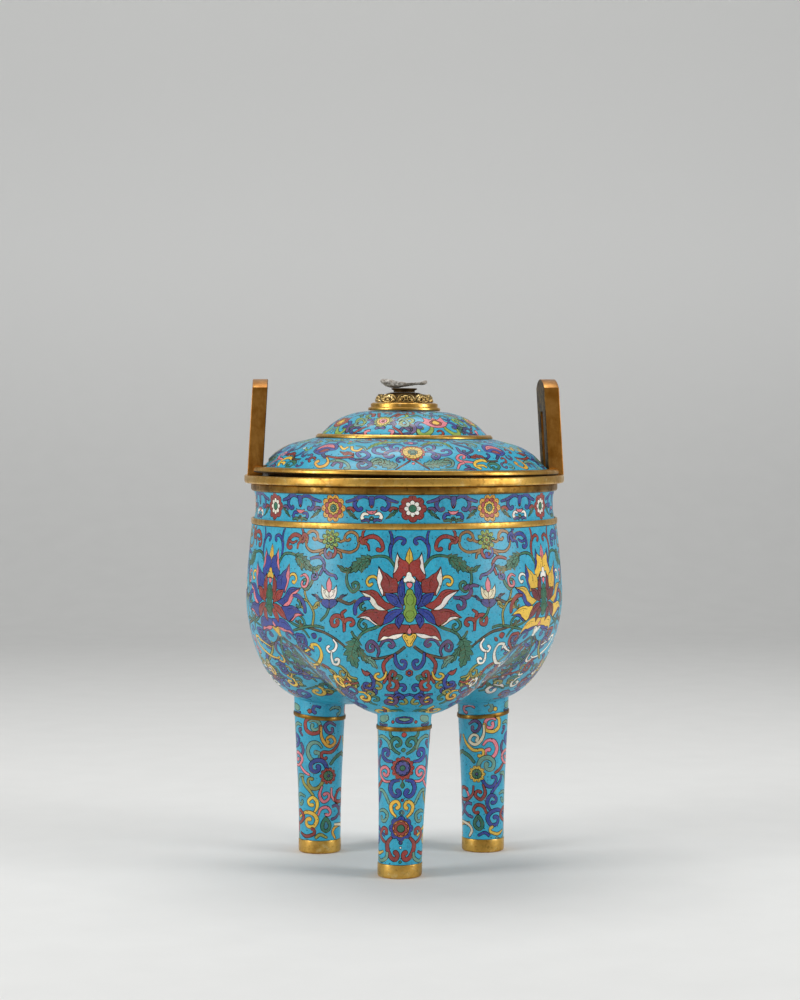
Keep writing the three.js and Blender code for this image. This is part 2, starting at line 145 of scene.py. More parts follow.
def paper_sweep():
    """A flat floor, a quarter-round bend and an upright wall: a section carried along X."""
    turn = np.linspace(0, np.pi / 2, 25)
    start, radius = ROOM["bend"], ROOM["bend_radius"]
    y = np.concatenate([np.linspace(ROOM["front"], start, 30)[:-1], start + radius * np.sin(turn),
                        [start + radius]])
    z = np.concatenate([np.zeros(29), radius * (1 - np.cos(turn)), [ROOM["height"]]])
    x = np.linspace(-ROOM["half_width"], ROOM["half_width"], 7)
    points = np.stack(np.broadcast_arrays(x[:, None], y, z), -1).reshape(-1, 3)
    i, j = np.meshgrid(np.arange(6), np.arange(len(y) - 1), indexing="ij")
    low = (i * len(y) + j).ravel()
    mesh = bpy.data.meshes.new("paper_sweep")
    quads = np.stack([low, low + len(y), low + len(y) + 1, low + 1], 1)
    mesh.from_pydata(points.tolist(), [], quads.tolist())
    mesh.shade_smooth()
    sweep = bpy.data.objects.new("paper_sweep", mesh)
    bpy.context.collection.objects.link(sweep)
    paper = Shader("pale_paper")
    grain = paper.noise(60, 3)
    height = paper.node("ShaderNodeSeparateXYZ", {}, {"Vector": paper.coordinates()})[2]
    tone = paper.mix(grain, "d8d8d6", "dededc")
    # The paper is painted paler from the floor up to a metre: painted light that brightens the bend and the
    # wall, which the lamps light less than the floor.
    tone = paper.mix(paper.ramp(height, 0.0, 1.0), tone, "f6f6f4")
    mesh.materials.append(paper.finish(Base_Color=tone, Roughness=0.9))


def soft_lamp(name, place, aim, size, power):
    lamp = bpy.data.lights.new(name, "AREA")
    lamp.shape, lamp.size, lamp.size_y, lamp.energy = "RECTANGLE", *size, power
    made = bpy.data.objects.new(name, lamp)
    bpy.context.collection.objects.link(made)
    made.location = place
    made.rotation_euler = (Vector(aim) - Vector(place)).to_track_quat("-Z", "Y").to_euler()


CAMERA = {"turn": -3.5, "distance": 2.489, "height": 0.462, "aside": -0.0044, "tilt": 2.02, "lens": 86.0}


def stand_camera():
    view = bpy.data.cameras.new("camera")
    view.lens, view.sensor_width = CAMERA["lens"], 36
    camera = bpy.data.objects.new("camera", view)
    bpy.context.collection.objects.link(camera)
    turn, tilt = math.radians(CAMERA["turn"]), math.radians(CAMERA["tilt"])
    away = Vector((math.sin(turn), -math.cos(turn), 0))
    right = Vector((math.cos(turn), math.sin(turn), 0))
    camera.location = away * CAMERA["distance"] + right * CAMERA["aside"] + Vector((0, 0, CAMERA["height"]))
    look = -away * math.cos(tilt) - Vector((0, 0, math.sin(tilt)))
    camera.rotation_euler = look.to_track_quat("-Z", "Y").to_euler()
    bpy.context.scene.camera = camera


def light_room():
    """An even soft light. Rays that a polished surface sends back meet a dimmer room than the eye does."""
    room = Shader("room", bpy.data.worlds)
    path = room.node("ShaderNodeLightPath", {}, {})
    camera, glossy = path[0], path[3]
    light = room.node("ShaderNodeBackground", {}, {
        "Color": "f4f5f6", "Strength": camera * 0.35 + 0.45 - glossy * 0.15})[0]
    room.node("ShaderNodeOutputWorld", {}, {"Surface": light})
    bpy.context.scene.world = room.owner
    soft_lamp("left_lamp", (-2.2, -0.9, 1.1), (0, 0, 0.3), (0.9, 1.8), 34)
    soft_lamp("right_lamp", (2.1, -0.9, 1.1), (0, 0, 0.3), (0.9, 1.8), 31)
    soft_lamp("top_lamp", (-0.15, 0.6, 2.4), (0, 0, 0.4), (1.5, 1.1), 24)


bpy.context.scene.view_settings.view_transform = "Standard"
paper_sweep()
stand_camera()
light_room()


# The three feet: gilt-bronze caps, turned and a little worn, each soldered round the end of a leg tube. They
# stand flat on the floor.
ROUND_COLUMNS, ROW = 180, 6.0
LEGS = {"front": {"reach": 100.0, "turn": -3.5, "ring": 150.6, "lean": 4.6 / 150},
        "right": {"reach": 95.0, "turn": 114.4, "ring": 146.4, "lean": 0.0},
        "left": {"reach": 97.0, "turn": 244.1, "ring": 145.2, "lean": 0.0}}
LEG_PIVOT = 160.0
FOOT = {"radius": 22.4, "height": 14.0, "edge": 1.3, "spigot": 21.0, "inside": 17.9}


def soften(corners, radius):
    """A closed section with each corner replaced by a short arc of about this radius, in four steps."""
    p = np.asarray(corners, float)
    before, after = np.roll(p, 1, 0) - p, np.roll(p, -1, 0) - p
    lengths = np.minimum(np.linalg.norm(before, axis=1), np.linalg.norm(after, axis=1))
    reach = np.minimum(radius, lengths * 0.45)[:, None]
    start = p + before / np.linalg.norm(before, axis=1)[:, None] * reach
    end = p + after / np.linalg.norm(after, axis=1)[:, None] * reach
    t = np.linspace(0, 1, 5)[None, :, None]
    arc = start[:, None] * (1 - t) ** 2 + 2 * p[:, None] * t * (1 - t) + end[:, None] * t ** 2
    return arc.reshape(-1, 2)


class Section:
    """A closed loop of [radius, height] points, read by the distance along it, starting at the outer top."""

    def __init__(self, loop):
        loop = np.asarray(loop, float)
        self.points = np.vstack([loop, loop[:1]])
        steps = np.linalg.norm(np.diff(self.points, axis=0), axis=1)
        self.points = self.points[np.append(True, steps > 1e-6)]
        steps = np.linalg.norm(np.diff(self.points, axis=0), axis=1)
        self.at = np.append(0, np.cumsum(steps))
        self.length = self.at[-1]
        self.slope = np.diff(self.points, axis=0) / steps[:, None]

    def place(self, distance, angle):
        """The radius and height at this distance, which are the same at each angle."""
        return (np.interp(distance, self.at, self.points[:, 0]),
                np.interp(distance, self.at, self.points[:, 1]))

    def drawn(self, distance, angle):
        return distance

    def facing(self, distance, angle):
        """The outward normal, eased between neighbouring stretches where they turn by less than 30
        degrees."""
        middle = (self.at[:-1] + self.at[1:]) / 2
        which = np.clip(np.searchsorted(self.at, distance, "right") - 1, 0, len(self.slope) - 1)
        side = np.where(distance > middle[which], 1, -1)
        near = (which + side) % len(self.slope)
        gap = np.abs(self.at[np.where(side > 0, which + 1, which)] - distance)
        half = (self.at[which + 1] - self.at[which]) / 2
        smooth = (self.slope[which] * self.slope[near]).sum(-1) > 0.87
        share = np.where(smooth, 0.5 * (1 - gap / half), 0)[..., None]
        slope = self.slope[which] * (1 - share) + self.slope[near] * share
        slope /= np.linalg.norm(slope, axis=-1, keepdims=True)
        return upright(angle, -slope[..., 1], slope[..., 0])


def upright(angle, radius, height):
    """A point at this angle from the front, anticlockwise from above, at this radius and height."""
    return np.stack(np.broadcast_arrays(radius * np.sin(angle), -radius * np.cos(angle), height), -1)


def add_piece(name, body, corners, section, material, stands_for, slot, colours=None, shape=None, stand=None):
    """Makes a turned piece of triangles. Corners holds (angle, distance along the section) for each
    triangle corner: the point is the section's radius and height there, turned by the angle, changed by
    `shape` and moved by `stand`. Normals come from the section, so that thin triangles don't show."""
    angle, distance = corners[..., 0], corners[..., 1]
    radius, height = section.place(distance, angle)
    if shape:
        radius, height = shape(angle, radius, height)
    points = upright(angle, radius, height)
    centre = corners.mean(1, keepdims=True)
    inside = corners + (centre - corners) * 0.02
    normals = section.facing(inside[..., 1], inside[..., 0])
    if stand:
        matrix, shift = stand
        points = points @ matrix.T + shift
        normals = normals @ np.linalg.inv(matrix)
    flat = points.reshape(-1, 3)
    _, first, index = np.unique(np.round(flat, 4), axis=0, return_index=True, return_inverse=True)
    faces = index.reshape(-1, 3)
    keep = (faces[:, 0] != faces[:, 1]) & (faces[:, 1] != faces[:, 2]) & (faces[:, 2] != faces[:, 0])
    faces, count = faces[keep], int(keep.sum())
    mesh = bpy.data.meshes.new(name)
    mesh.vertices.add(len(first))
    mesh.vertices.foreach_set("co", (flat[first] * MM).astype(np.float32).ravel())
    mesh.loops.add(count * 3)
    mesh.loops.foreach_set("vertex_index", faces.astype(np.int32).ravel())
    mesh.polygons.add(count)
    mesh.polygons.foreach_set("loop_start", np.arange(0, count * 3, 3, dtype=np.int32))
    mesh.update(calc_edges=True)
    mesh.shade_smooth()
    unwrap = np.stack([angle / (2 * np.pi) + 0.5, distance / section.length], -1)[keep]
    mesh.uv_layers.new(name="OFBake").data.foreach_set("uv", unwrap.astype(np.float32).ravel())
    if colours is not None:
        layer = mesh.color_attributes.new("enamel", "FLOAT_COLOR", "CORNER")
        layer.data.foreach_set("color", np.repeat(colours[keep], 3, axis=0).astype(np.float32).ravel())
    normals = normals[keep] / np.linalg.norm(normals[keep], axis=-1, keepdims=True)
    mesh.normals_split_custom_set(normals.reshape(-1, 3).tolist())
    show_piece(name, body, mesh, material, stands_for)


def show_piece(name, body, mesh, material, stands_for):
    mesh.materials.append(material)
    made = bpy.data.objects.new(name, mesh)
    bpy.context.collection.objects.link(made)
    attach(made, body)
    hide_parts(*stands_for)


def grid_corners(angles, distances):
    """Two triangles for each cell of a grid of angles and distances, facing outwards."""
    a, d = np.meshgrid(angles, distances, indexing="ij")
    p = np.stack([a, d], -1)
    top_left, low_left, low_right, top_right = p[:-1, :-1], p[:-1, 1:], p[1:, 1:], p[1:, :-1]
    return np.concatenate([np.stack([top_left, low_left, low_right], -2).reshape(-1, 3, 2),
                           np.stack([top_left, low_right, top_right], -2).reshape(-1, 3, 2)])


def turned_piece(name, body, loop, material, stands_for, slot, columns=ROUND_COLUMNS, **more):
    """A closed section turned about its axis, with rows at its points and at most `ROW` apart."""
    section = Section(loop)
    rows = [np.linspace(low, high, max(2, int(np.ceil((high - low) / ROW)) + 1))[:-1]
            for low, high in zip(section.at[:-1], section.at[1:])]
    rows = np.append(np.concatenate(rows), section.length)
    corners = grid_corners(np.linspace(-np.pi, np.pi, columns + 1), rows)
    add_piece(name, body, corners, section, material, stands_for, slot, **more)


def gilt_finish(name, gold, shade, worn, polish=0.3, marks=1.0, painted_gap_shade=None, hollow=False):
    """Mercury gilding: warm gold, browner where dirt stays, paler where it's rubbed, with fine scratches.
    Painted shade blackens it between two shares of the way round the section, where the gap under the lid
    is dark, and painted shade darkens the hollows where the mesh has a tone."""
    shader = Shader(name)
    patches = shader.ramp(shader.noise(26, 4, 0.6), 0.38, 0.68)
    grime = shader.ramp(shader.noise(5, 5, 0.65, shift=3.1), 0.5, 0.72)
    rub = shader.ramp(shader.noise(11, 4, 0.55, shift=7.7), 0.55, 0.75)
    scratches = shader.ramp(shader.noise(1.1, 3, 0.6, stretch=(1, 1, 9), shift=1.9), 0.62, 0.72)
    tone = shader.mix(patches * 0.75, gold, shade)
    tone = shader.mix(rub * 0.6, tone, worn)
    tone = shader.mix(grime * (0.45 * marks), tone, "4a3010")
    # Painted shade: near-black over that share of the section, for the dark gap under the lid.
    if painted_gap_shade:
        unwrap = shader.node("ShaderNodeUVMap", {}, {})[0]
        along = shader.node("ShaderNodeSeparateXYZ", {}, {"Vector": unwrap})[1]
        tone = shader.mix((along > painted_gap_shade[0]) * (along < painted_gap_shade[1]) * 0.93, tone, "16120e")
    # Painted shade in the hollows, as strong as the mesh's tone.
    if hollow:
        tone = shader.mix(shader.attribute("tone")[2], tone, "1d160c")
    rough = polish + patches * 0.1 + grime * 0.22 + scratches * 0.08 - rub * 0.05
    height = shader.noise(7, 3) * 0.6 + shader.noise(0.8, 2, shift=4.4) * 0.12 - grime * 0.12
    bump = shader.bump(height, 0.35, 0.0006)
    return shader.finish(Base_Color=tone, Metallic=1.0, Roughness=rough, Normal=bump)


def leg_stand(side):
    """The matrix and shift that put a leg's own axis in its place: the front leg leans a little."""
    leg, turn = LEGS[side], math.radians(LEGS[side]["turn"])
    matrix = np.eye(3)
    matrix[0, 2] = leg["lean"]
    return matrix, np.array([leg["reach"] * math.sin(turn) - leg["lean"] * LEG_PIVOT,
                             -leg["reach"] * math.cos(turn), 0])


GILT = gilt_finish("gilt_bronze", "dfb25a", "b07f34", "f3dc9c")
# A darker copy of the gilt with more grime; its darker colours are painted shade, for the lower rim under the
# upper one and for the leg rings under the belly.
GILT_SHADED = gilt_finish("gilt_bronze_shaded", "9a7434", "5d4118", "cba55c", 0.36, 1.6)


def feet():
    radius, height, edge, spigot, inside = FOOT.values()
    loop = soften([[inside, height], [radius, height], [radius + 0.15, height * 0.5], [radius - 0.1, edge],
                   [radius - edge, 0.0], [0.01, 0], [0.01, spigot], [inside, spigot]], 0.6)
    for side in LEGS:
        turned_piece(f"{side}_foot", "vessel", loop, GILT, [f"leg_{side}_foot"], "gilt_bronze", columns=72,
                     stand=leg_stand(side))


feet()


# The three leg tubes: rolled copper, enamelled outside. Each colour lies in a cell fenced by a thin gilt
# wire that is bent to the pattern and soldered on edge, and the whole is ground flush. The pattern is the
# same on each leg, with other colours on its left flank.
WIRE = 0.7
ENAMELS = {name: paint(code) for name, code in {
    "turquoise": "109ebe", "deep": "1f7f9c", "cobalt": "162f8a", "navy": "1b2a66", "red": "a3291e",
    "brick": "90251a", "wine": "701824", "orange": "c4702c", "amber": "dba020", "yellow": "e3b735",
    "ochre": "96662a", "olive": "8f8a34", "lime": "7fa032", "green": "1d6647", "leaf": "2a6b4c",
    "sage": "5f8f7a", "white": "eee9dc", "cream": "dcd0b0", "pink": "dc7480", "violet": "423f82",
    "purple": "54366c", "vine": "4b3a22"}.items()}
WIRE_TINT = (*paint("8a6426")[:3], 0.0)


def bend(points, spacing=1.5, closed=False):
    """A smooth line through the points, by uniform Catmull-Rom cubics. A point given twice makes a corner."""
    p = np.asarray(points, float)
    ends = (p[-1:], p[:2]) if closed else (2 * p[:1] - p[1:2], 2 * p[-1:] - p[-2:-1])
    run = np.vstack([ends[0], p, ends[1]])
    a, b, c, d = run[:-3], run[1:-2], run[2:-1], run[3:]
    steps = max(2, int(np.ceil(np.linalg.norm(c - b, axis=1).mean() / spacing)))
    t = (np.arange(steps) / steps)[:, None, None]
    line = 0.5 * (2 * b + (c - a) * t + (2 * a - 5 * b + 4 * c - d) * t ** 2
                  + (3 * b - a - 3 * c + d) * t ** 3)
    line = line.transpose(1, 0, 2).reshape(-1, 2)
    if not closed:
        line = np.vstack([line, p[-1:]])
    apart = np.linalg.norm(np.diff(line, axis=0), axis=1) > 0.12
    return line[np.append(True, apart)]


def corner(x, d):
    return (x, d), (x, d)


def cell(colour, *points):
    """One cell of a colour, its wire bent through the points."""
    return [(colour, bend(points, closed=True))]


def whole(*half):
    """A cell's points from its right half, which starts and ends on the middle line."""
    return [*half, *[(-x, d) for x, d in reversed(half) if x > 0]]


def mirrored(motif):
    return motif + [(colour, outline * (-1, 1)) for colour, outline in motif]


def moved(motif, x=0.0, d=0.0, turn=0.0, size=1.0):
    """The motif turned by degrees, scaled, then shifted."""
    c, s = math.cos(math.radians(turn)) * size, math.sin(math.radians(turn)) * size
    matrix = np.array([[c, s], [-s, c]])
    return [(colour, outline @ matrix + (x, d)) for colour, outline in motif]


def ribbon(colour, line, half, other=None):
    """A band either side of a line, with a round end: half is its half-width at each point, and other that of
    the far side where it differs."""
    slope = np.gradient(line, axis=0)
    slope /= np.linalg.norm(slope, axis=1, keepdims=True) + 1e-9
    across = np.stack([-slope[:, 1], slope[:, 0]], 1)
    turn = np.linspace(np.pi / 2, -np.pi / 2, 7)[1:-1, None]
    cap = line[-1] + half[-1] * (np.sin(turn) * across[-1] + np.cos(turn) * slope[-1])
    other = half if other is None else other
    return [(colour, np.vstack([line + across * half[:, None], cap, (line - across * other[:, None])[::-1]]))]


def band(colour, width, *points, curl=None, turns=0.5, root=0.6):
    """A scroll: a ribbon through the points that may wind inwards round a curl centre and end in a bead.
    Its width is measured between the middles of its wires, and `root` is the share of it at the start."""
    points = list(points)
    if curl:
        last, centre = np.array(points[-1], float), np.array(curl, float)
        coming, arm = last - np.array(points[-2], float), last - centre
        way = 1 if arm[0] * coming[1] - arm[1] * coming[0] > 0 else -1
        k = np.arange(1, max(1, int(turns * 8)) + 1)
        angle = math.atan2(arm[1], arm[0]) + way * k * math.pi / 4
        reach = np.linalg.norm(arm) * (1 - 0.55 * k / k[-1])
        points += (centre + np.stack([np.cos(angle), np.sin(angle)], 1) * reach[:, None]).tolist()
    line = bend(points, 1.3)
    at = np.append(0, np.cumsum(np.linalg.norm(np.diff(line, axis=0), axis=1)))
    share = at / at[-1]
    rise = np.clip(share / 0.35, 0, 1)
    half = width / 2 * (root + (1 - root) * rise * rise * (3 - 2 * rise))
    half = half * (1 - 0.2 * np.clip(share * 2 - 1, 0, 1)) + WIRE / 2
    if curl:
        bead = width * 0.62
        half = np.maximum(half, np.sqrt(np.maximum(bead ** 2 - (at[-1] - at) ** 2, 0)))
    return ribbon(colour, line, half)


def strand(*points, width=0.45):
    """A bare wire inside a cell."""
    line = bend(points, 1.3)
    return ribbon("wire", line, np.full(len(line), width / 2))


def leaf(colour, width, *points, lobes):
    """An acanthus leaf along a line: lobes that lean towards its tip, and a wire down its middle and into
    each lobe."""
    line = bend(points, 0.8)
    at = np.append(0, np.cumsum(np.linalg.norm(np.diff(line, axis=0), axis=1)))
    share = at / at[-1]
    broad = np.sin(np.pi * np.clip(share, 0.02, 0.985) ** 0.75) ** 0.6 * width / 2
    left, right = (broad * (0.5 + 0.5 * ((share * lobes + shift) % 1) ** 0.8) for shift in (0.0, 0.5))
    made = ribbon(colour, line, np.maximum(left, 0.2), np.maximum(right, 0.2))
    if len(line) > 8:
        made += ribbon("wire", line[2:-3], np.full(len(line) - 5, 0.24))
        slope = np.gradient(line, axis=0)
        for k in range(1, lobes if width > 6 else 0):
            for side, half, shift in ((1, left, 0.0), (-1, right, 0.5)):
                tip = min(len(line) - 2, int((k - shift) / lobes * len(line)) - 1)
                root = max(1, tip - 4)
                out = np.array([-slope[tip, 1], slope[tip, 0]]) / (np.linalg.norm(slope[tip]) + 1e-9)
                made += strand(line[root], line[tip] + side * out * half[tip] * 0.66, width=0.42)
    return made


def flower(x, d, *rings):
    """Round petals in rings. A ring is (colour, radius, petals, notch depth, turn in petals): its outline
    is the radius less the depth times how near the angle is to a notch. A plain round one is (colour,
    radius)."""
    made = []
    for colour, radius, *petals in rings:
        petals, depth, turn = petals or (0, 0, 0)
        count = max(14, petals * 6)
        angle = np.linspace(0, 2 * np.pi, count, endpoint=False)
        dip = np.abs(np.sin(angle * petals / 2 + turn * np.pi)) if petals else 1.0
        reach = radius * (1 - depth + depth * dip ** 0.6 * np.ones(count))
        made.append((colour, np.stack([x + reach * np.cos(angle), d + reach * np.sin(angle)], 1)))
    return made


def spokes(x, d, inner, outer, count, turn=0.0, tilt=0.0):
    """Wires between the petals of a round flower."""
    angle = (np.arange(count) + turn) * 2 * np.pi / count
    return [piece for a in angle for piece in strand(
        (x + inner * math.cos(a - tilt), d + inner * math.sin(a - tilt)),
        (x + outer * math.cos(a), d + outer * math.sin(a)), width=0.4)]


def inset(outline, amount):
    """The outline drawn inwards by this amount, along the mean of the neighbouring edges' normals."""
    edge = np.roll(outline, -1, 0) - outline
    edge /= np.linalg.norm(edge, axis=1, keepdims=True) + 1e-9
    slope = edge + np.roll(edge, 1, 0)
    size = np.linalg.norm(slope, axis=1, keepdims=True)
    slope = np.where(size > 0.3, slope / (size + 1e-9), edge)
    return outline + np.stack([-slope[:, 1], slope[:, 0]], 1) * amount


def thinned(outline, slack):
    """Leaves out points where the line without them stays within this distance, in three rounds of every
    second."""
    for _ in range(3):
        chord = np.roll(outline, -1, 0) - np.roll(outline, 1, 0)
        arm = outline - np.roll(outline, 1, 0)
        off = np.abs(chord[:, 0] * arm[:, 1] - chord[:, 1] * arm[:, 0])
        off = off / (np.linalg.norm(chord, axis=1) + 1e-9)
        outline = outline[(off > slack) | (np.arange(len(outline)) % 2 == 0)]
    return outline


def area(outline):
    x, y = outline.T
    return 0.5 * (x @ np.roll(y, -1) - y @ np.roll(x, -1))


class Wall:
    """An enamelled wall unrolled flat, angle times a reference radius across and distance down, on which
    cells are laid one over another. The triangles that it gives follow every wire."""

    def __init__(self, section, depth, reference, columns, seed, waver, slack=0.04):
        self.section, self.depth, self.reference, self.columns = section, depth, reference, columns
        self.outlines, self.tints = [], [np.array(ENAMELS["turquoise"])]
        self.random = np.random.default_rng(seed)
        self.waver, self.slack = waver, slack
        self.phases = self.random.uniform(0, 2 * np.pi, 6)

    def by_hand(self, x, d):
        """The small wander of hand-bent wires: a few slow waves in both directions."""
        p, w = self.phases, self.waver
        return (x + w * (np.sin(d / 9 + x / 17 + p[0]) + np.sin(x / 11 - d / 14 + p[1])),
                d + w * (np.sin(x / 10 + d / 21 + p[2]) + np.sin(d / 8 - x / 19 + p[3])))

    def lay(self, motif, angle, colours=None, down=0.0, flip=1):
        """Lays a motif drawn in millimetres, its middle at this angle in degrees from the front."""
        colours, turn = colours or {}, 2 * np.pi * self.reference
        for colour, outline in motif:
            outline = outline * (flip, 1)
            if area(outline) > 0:
                outline = outline[::-1]
            name = colours.get(colour, colour)
            layers = [(outline, np.array(WIRE_TINT))]
            if name != "wire":
                tint = np.array(ENAMELS[name])
                tint[:3] *= self.random.uniform(0.86, 1.12) * self.random.uniform(0.96, 1.04, 3)
                layers.append((inset(outline, -WIRE), tint))
            for line, tint in layers:
                if len(line) < 3 or area(line) > -0.05:
                    continue
                x, d = line.T
                spot = np.radians(angle) + x / self.reference
                d = self.section.drawn(d + down, spot)
                radius = self.section.place(np.clip(d, 0, self.depth), spot)[0]
                x = np.radians(angle) * self.reference + x * self.reference / radius
                x, d = self.by_hand(x, d)
                x = (x - x.mean()) + (x.mean() + turn / 2) % turn - turn / 2
                place = thinned(np.stack([x, -np.clip(d, WIRE / 2, self.depth - WIRE / 2)], 1), self.slack)
                if len(place) < 3:
                    continue
                for shift in (0, turn, -turn):
                    if place[:, 0].max() + shift > -turn / 2 and place[:, 0].min() + shift < turn / 2:
                        self.outlines.append(place + (shift, 0))
                        self.tints.append(tint)

    def fill(self, tints, clear):
        """Lays a small curl wherever no wire is as near as this, on a grid shaken a little."""
        half = np.pi * self.reference
        x, d = np.meshgrid(np.arange(-half, half, 4.0), np.arange(clear + 1.2, self.depth - clear - 1.2, 3.0))
        wires = np.vstack(self.outlines) * (1, -1)
        spots = np.stack([x.ravel(), d.ravel()], 1) + self.random.uniform(-1, 1, (x.size, 2))
        for k, spot in enumerate(spots):
            if np.hypot(*(wires - spot).T).min() > clear:
                curl = band(tints[k % len(tints)], 2.6, (-4, 1), (-1.4, 3.6), (2.6, 2.4), (3, -1.6),
                            (-0.4, -2.6))
                angle = math.degrees(spot[0] / self.reference)
                self.lay(moved(curl, turn=self.random.uniform(0, 360)), angle, down=spot[1])
                wires = np.vstack([wires, self.outlines[-1] * (1, -1)])

    def covered(self):
        """Which of all outline points lie inside a cell that was laid later."""
        points = np.vstack(self.outlines)
        owner = np.repeat(np.arange(len(self.outlines)), [len(outline) for outline in self.outlines])
        order = np.argsort(points[:, 0])
        hidden = np.zeros(len(points), bool)
        for which, outline in enumerate(self.outlines):
            (left, low), (right, high) = outline.min(0), outline.max(0)
            near = order[slice(*np.searchsorted(points[order, 0], [left, right]))]
            near = near[(owner[near] < which) & (points[near, 1] > low) & (points[near, 1] < high)]
            hidden[near] |= winds_round(outline, points[near])
        return hidden

    def triangles(self):
        """The corners of all triangles as (angle, distance), and each triangle's colour: that of the last
        cell whose outline winds round its middle. Covered stretches of outline are no edges."""
        half = np.pi * self.reference
        across = np.linspace(-half, half, self.columns + 1)
        down = -np.linspace(0, self.depth, max(3, int(self.depth / 5) + 2))
        border = np.concatenate([
            np.stack([across, np.zeros_like(across)], 1)[::-1],
            np.stack([np.full_like(down, -half), down], 1)[1:],
            np.stack([across, np.full_like(across, -self.depth)], 1)[1:],
            np.stack([np.full_like(down, half), down], 1)[1:-1][::-1]])
        runs = [border, *self.outlines]
        ends = np.cumsum([len(run) for run in runs])
        following = np.arange(1, ends[-1] + 1)
        following[ends - 1] = np.append(0, ends[:-1])
        edges = np.stack([np.arange(ends[-1]), following], 1)
        hidden = np.append(np.zeros(len(border), bool), self.covered())
        edges = edges[~hidden[edges].all(1)]
        used, edges = np.unique(edges, return_inverse=True)
        inner = np.stack(np.meshgrid(across[1:-1:2], down[1:-1]), -1).reshape(-1, 2)
        points = np.vstack([np.vstack(runs)[used], inner])
        points = [Vector(p) for p in points.tolist()]
        made = delaunay_2d_cdt(points, edges.reshape(-1, 2).tolist(), [], 0, 1e-3, False)
        corners = np.array([v[:] for v in made[0]])[np.array(made[2])]
        middle = corners.mean(1)
        within = np.abs(middle[:, 0]) < half
        corners, middle = corners[within], middle[within]
        order = np.argsort(middle[:, 0])
        corners, middle = corners[order], middle[order]
        top = np.zeros(len(middle), int)
        for which, outline in enumerate(self.outlines, 1):
            low, high = np.searchsorted(middle[:, 0], [outline[:, 0].min(), outline[:, 0].max()])
            near = middle[low:high]
            level = (near[:, 1] > outline[:, 1].min()) & (near[:, 1] < outline[:, 1].max())
            top[low:high][level] = np.where(winds_round(outline, near[level]), which, top[low:high][level])
        corners = np.stack([corners[..., 0] / self.reference, -corners[..., 1]], -1)
        return corners, np.stack(self.tints)[top]


def winds_round(outline, points):
    """True for points round which the outline goes anticlockwise: edges that cross the level of the point
    on its right count one up and one down."""
    x, y = points[:, :1], points[:, 1:]
    (ax, ay), (bx, by) = outline.T, np.roll(outline, -1, 0).T
    side = (bx - ax) * (y - ay) - (x - ax) * (by - ay)
    return (((ay <= y) & (by > y) & (side > 0)).sum(1) - ((ay > y) & (by <= y) & (side < 0)).sum(1)) > 0


def enamelled_piece(name, body, wall, material, stands_for, **more):
    """The enamelled wall and, beyond it, the rest of its closed section in bare metal, with every second
    row of a long one left out."""
    corners, colours = wall.triangles()
    section = wall.section
    rows = section.at[(section.at > wall.depth + 0.2) & (section.at < section.length - 0.2)]
    rows = rows[::2] if len(rows) > 40 else rows
    rows = np.concatenate([[wall.depth], rows, [section.length]])
    rest = grid_corners(np.linspace(-np.pi, np.pi, wall.columns + 1), rows)
    colours = np.vstack([colours, np.broadcast_to(WIRE_TINT, (len(rest), 4))])
    add_piece(name, body, np.concatenate([corners, rest]), section, material, stands_for, "enamel",
              colours=colours, **more)


def enamel_finish():
    """Matt-glossy glass paste: each cell's colour a little cloudy and streaked, dark pits where bubbles were
    ground open, and gilt wires between, painted dark brown with painted gold glints."""
    shader = Shader("cloisonne_enamel")
    kept = shader.attribute("enamel")
    colour, glass = kept[0], kept[3]
    cloud = shader.noise(14, 4, 0.6)
    grain = shader.noise(1.3, 3, 0.7, shift=5.2)
    milk = shader.ramp(shader.noise(30, 3, 0.5, shift=2.2), 0.45, 0.75)
    tone = shader.mix(0.5, colour, shader.mix(cloud, "202020", "ffffff"), "SOFT_LIGHT")
    tone = shader.mix(shader.ramp(grain, 0.35, 0.65, 0.0, 0.11), tone, shader.mix(0.5, tone, "dfe8ea"))
    tone = shader.mix(shader.ramp(shader.noise(2.6, 3, 0.6, shift=6.4), 0.5, 0.7, 0.0, 0.3), tone, "123a44")
    tone = shader.mix(milk * 0.03, tone, "d9e2e2")
    cells = shader.node("ShaderNodeTexVoronoi", {"feature": "F1"}, {
        "Vector": shader.coordinates(), "Scale": 1 / (3.6 * MM)})
    lot = shader.node("ShaderNodeSeparateColor", {}, {"Color": cells[1]})
    pit_size = shader.ramp(lot[0], 0.35, 1.0, 0.0, 0.21)
    pit = shader.ramp(cells[0] - pit_size, -0.03, 0.03, 1.0, 0.0) * (lot[0] > 0.4)
    tone = shader.mix(pit * 0.85, tone, "14181a")
    # The wires are painted dark brown, as painted shade and a painted dark reflection, with painted gold
    # glints in random patches.
    painted_wire_glints = shader.noise(6, 3, shift=9.3)
    wire = shader.mix(shader.ramp(painted_wire_glints, 0.46, 0.72), "24190c", "86662e")
    tone = shader.mix(glass, wire, tone)
    metal = (1 - glass) * 0.9
    rough = 0.26 + shader.ramp(cloud, 0.3, 0.7) * 0.1 + grain * 0.08 + pit * 0.4 + (1 - glass) * 0.1
    height = shader.noise(2.2, 2, shift=1.1) * 0.5 + grain * 0.2 - pit * 0.8
    bump = shader.bump(height, 0.3, 0.0004)
    return shader.finish(Base_Color=tone, Metallic=metal, Roughness=rough, Normal=bump)


ENAMEL = enamel_finish()
BELLY = {"radius": 164.5, "widest": 280.9, "top": 350.2, "top_radius": 158.5, "shoulder": 1.3, "wall": 4.4,
         "bare": 6.0}
POUCH = {"start": 270.0, "bottom": 158.0, "reach": 75.0, "swell": 2.7, "spread": 1.4, "valley": 6.0}
LEG_WALL = 3.4
LEG_OUTLINE = [[27.6, 179], [26.8, 150], [25, 111], [23.2, 73], [22.3, 41], [22, 14.3]]


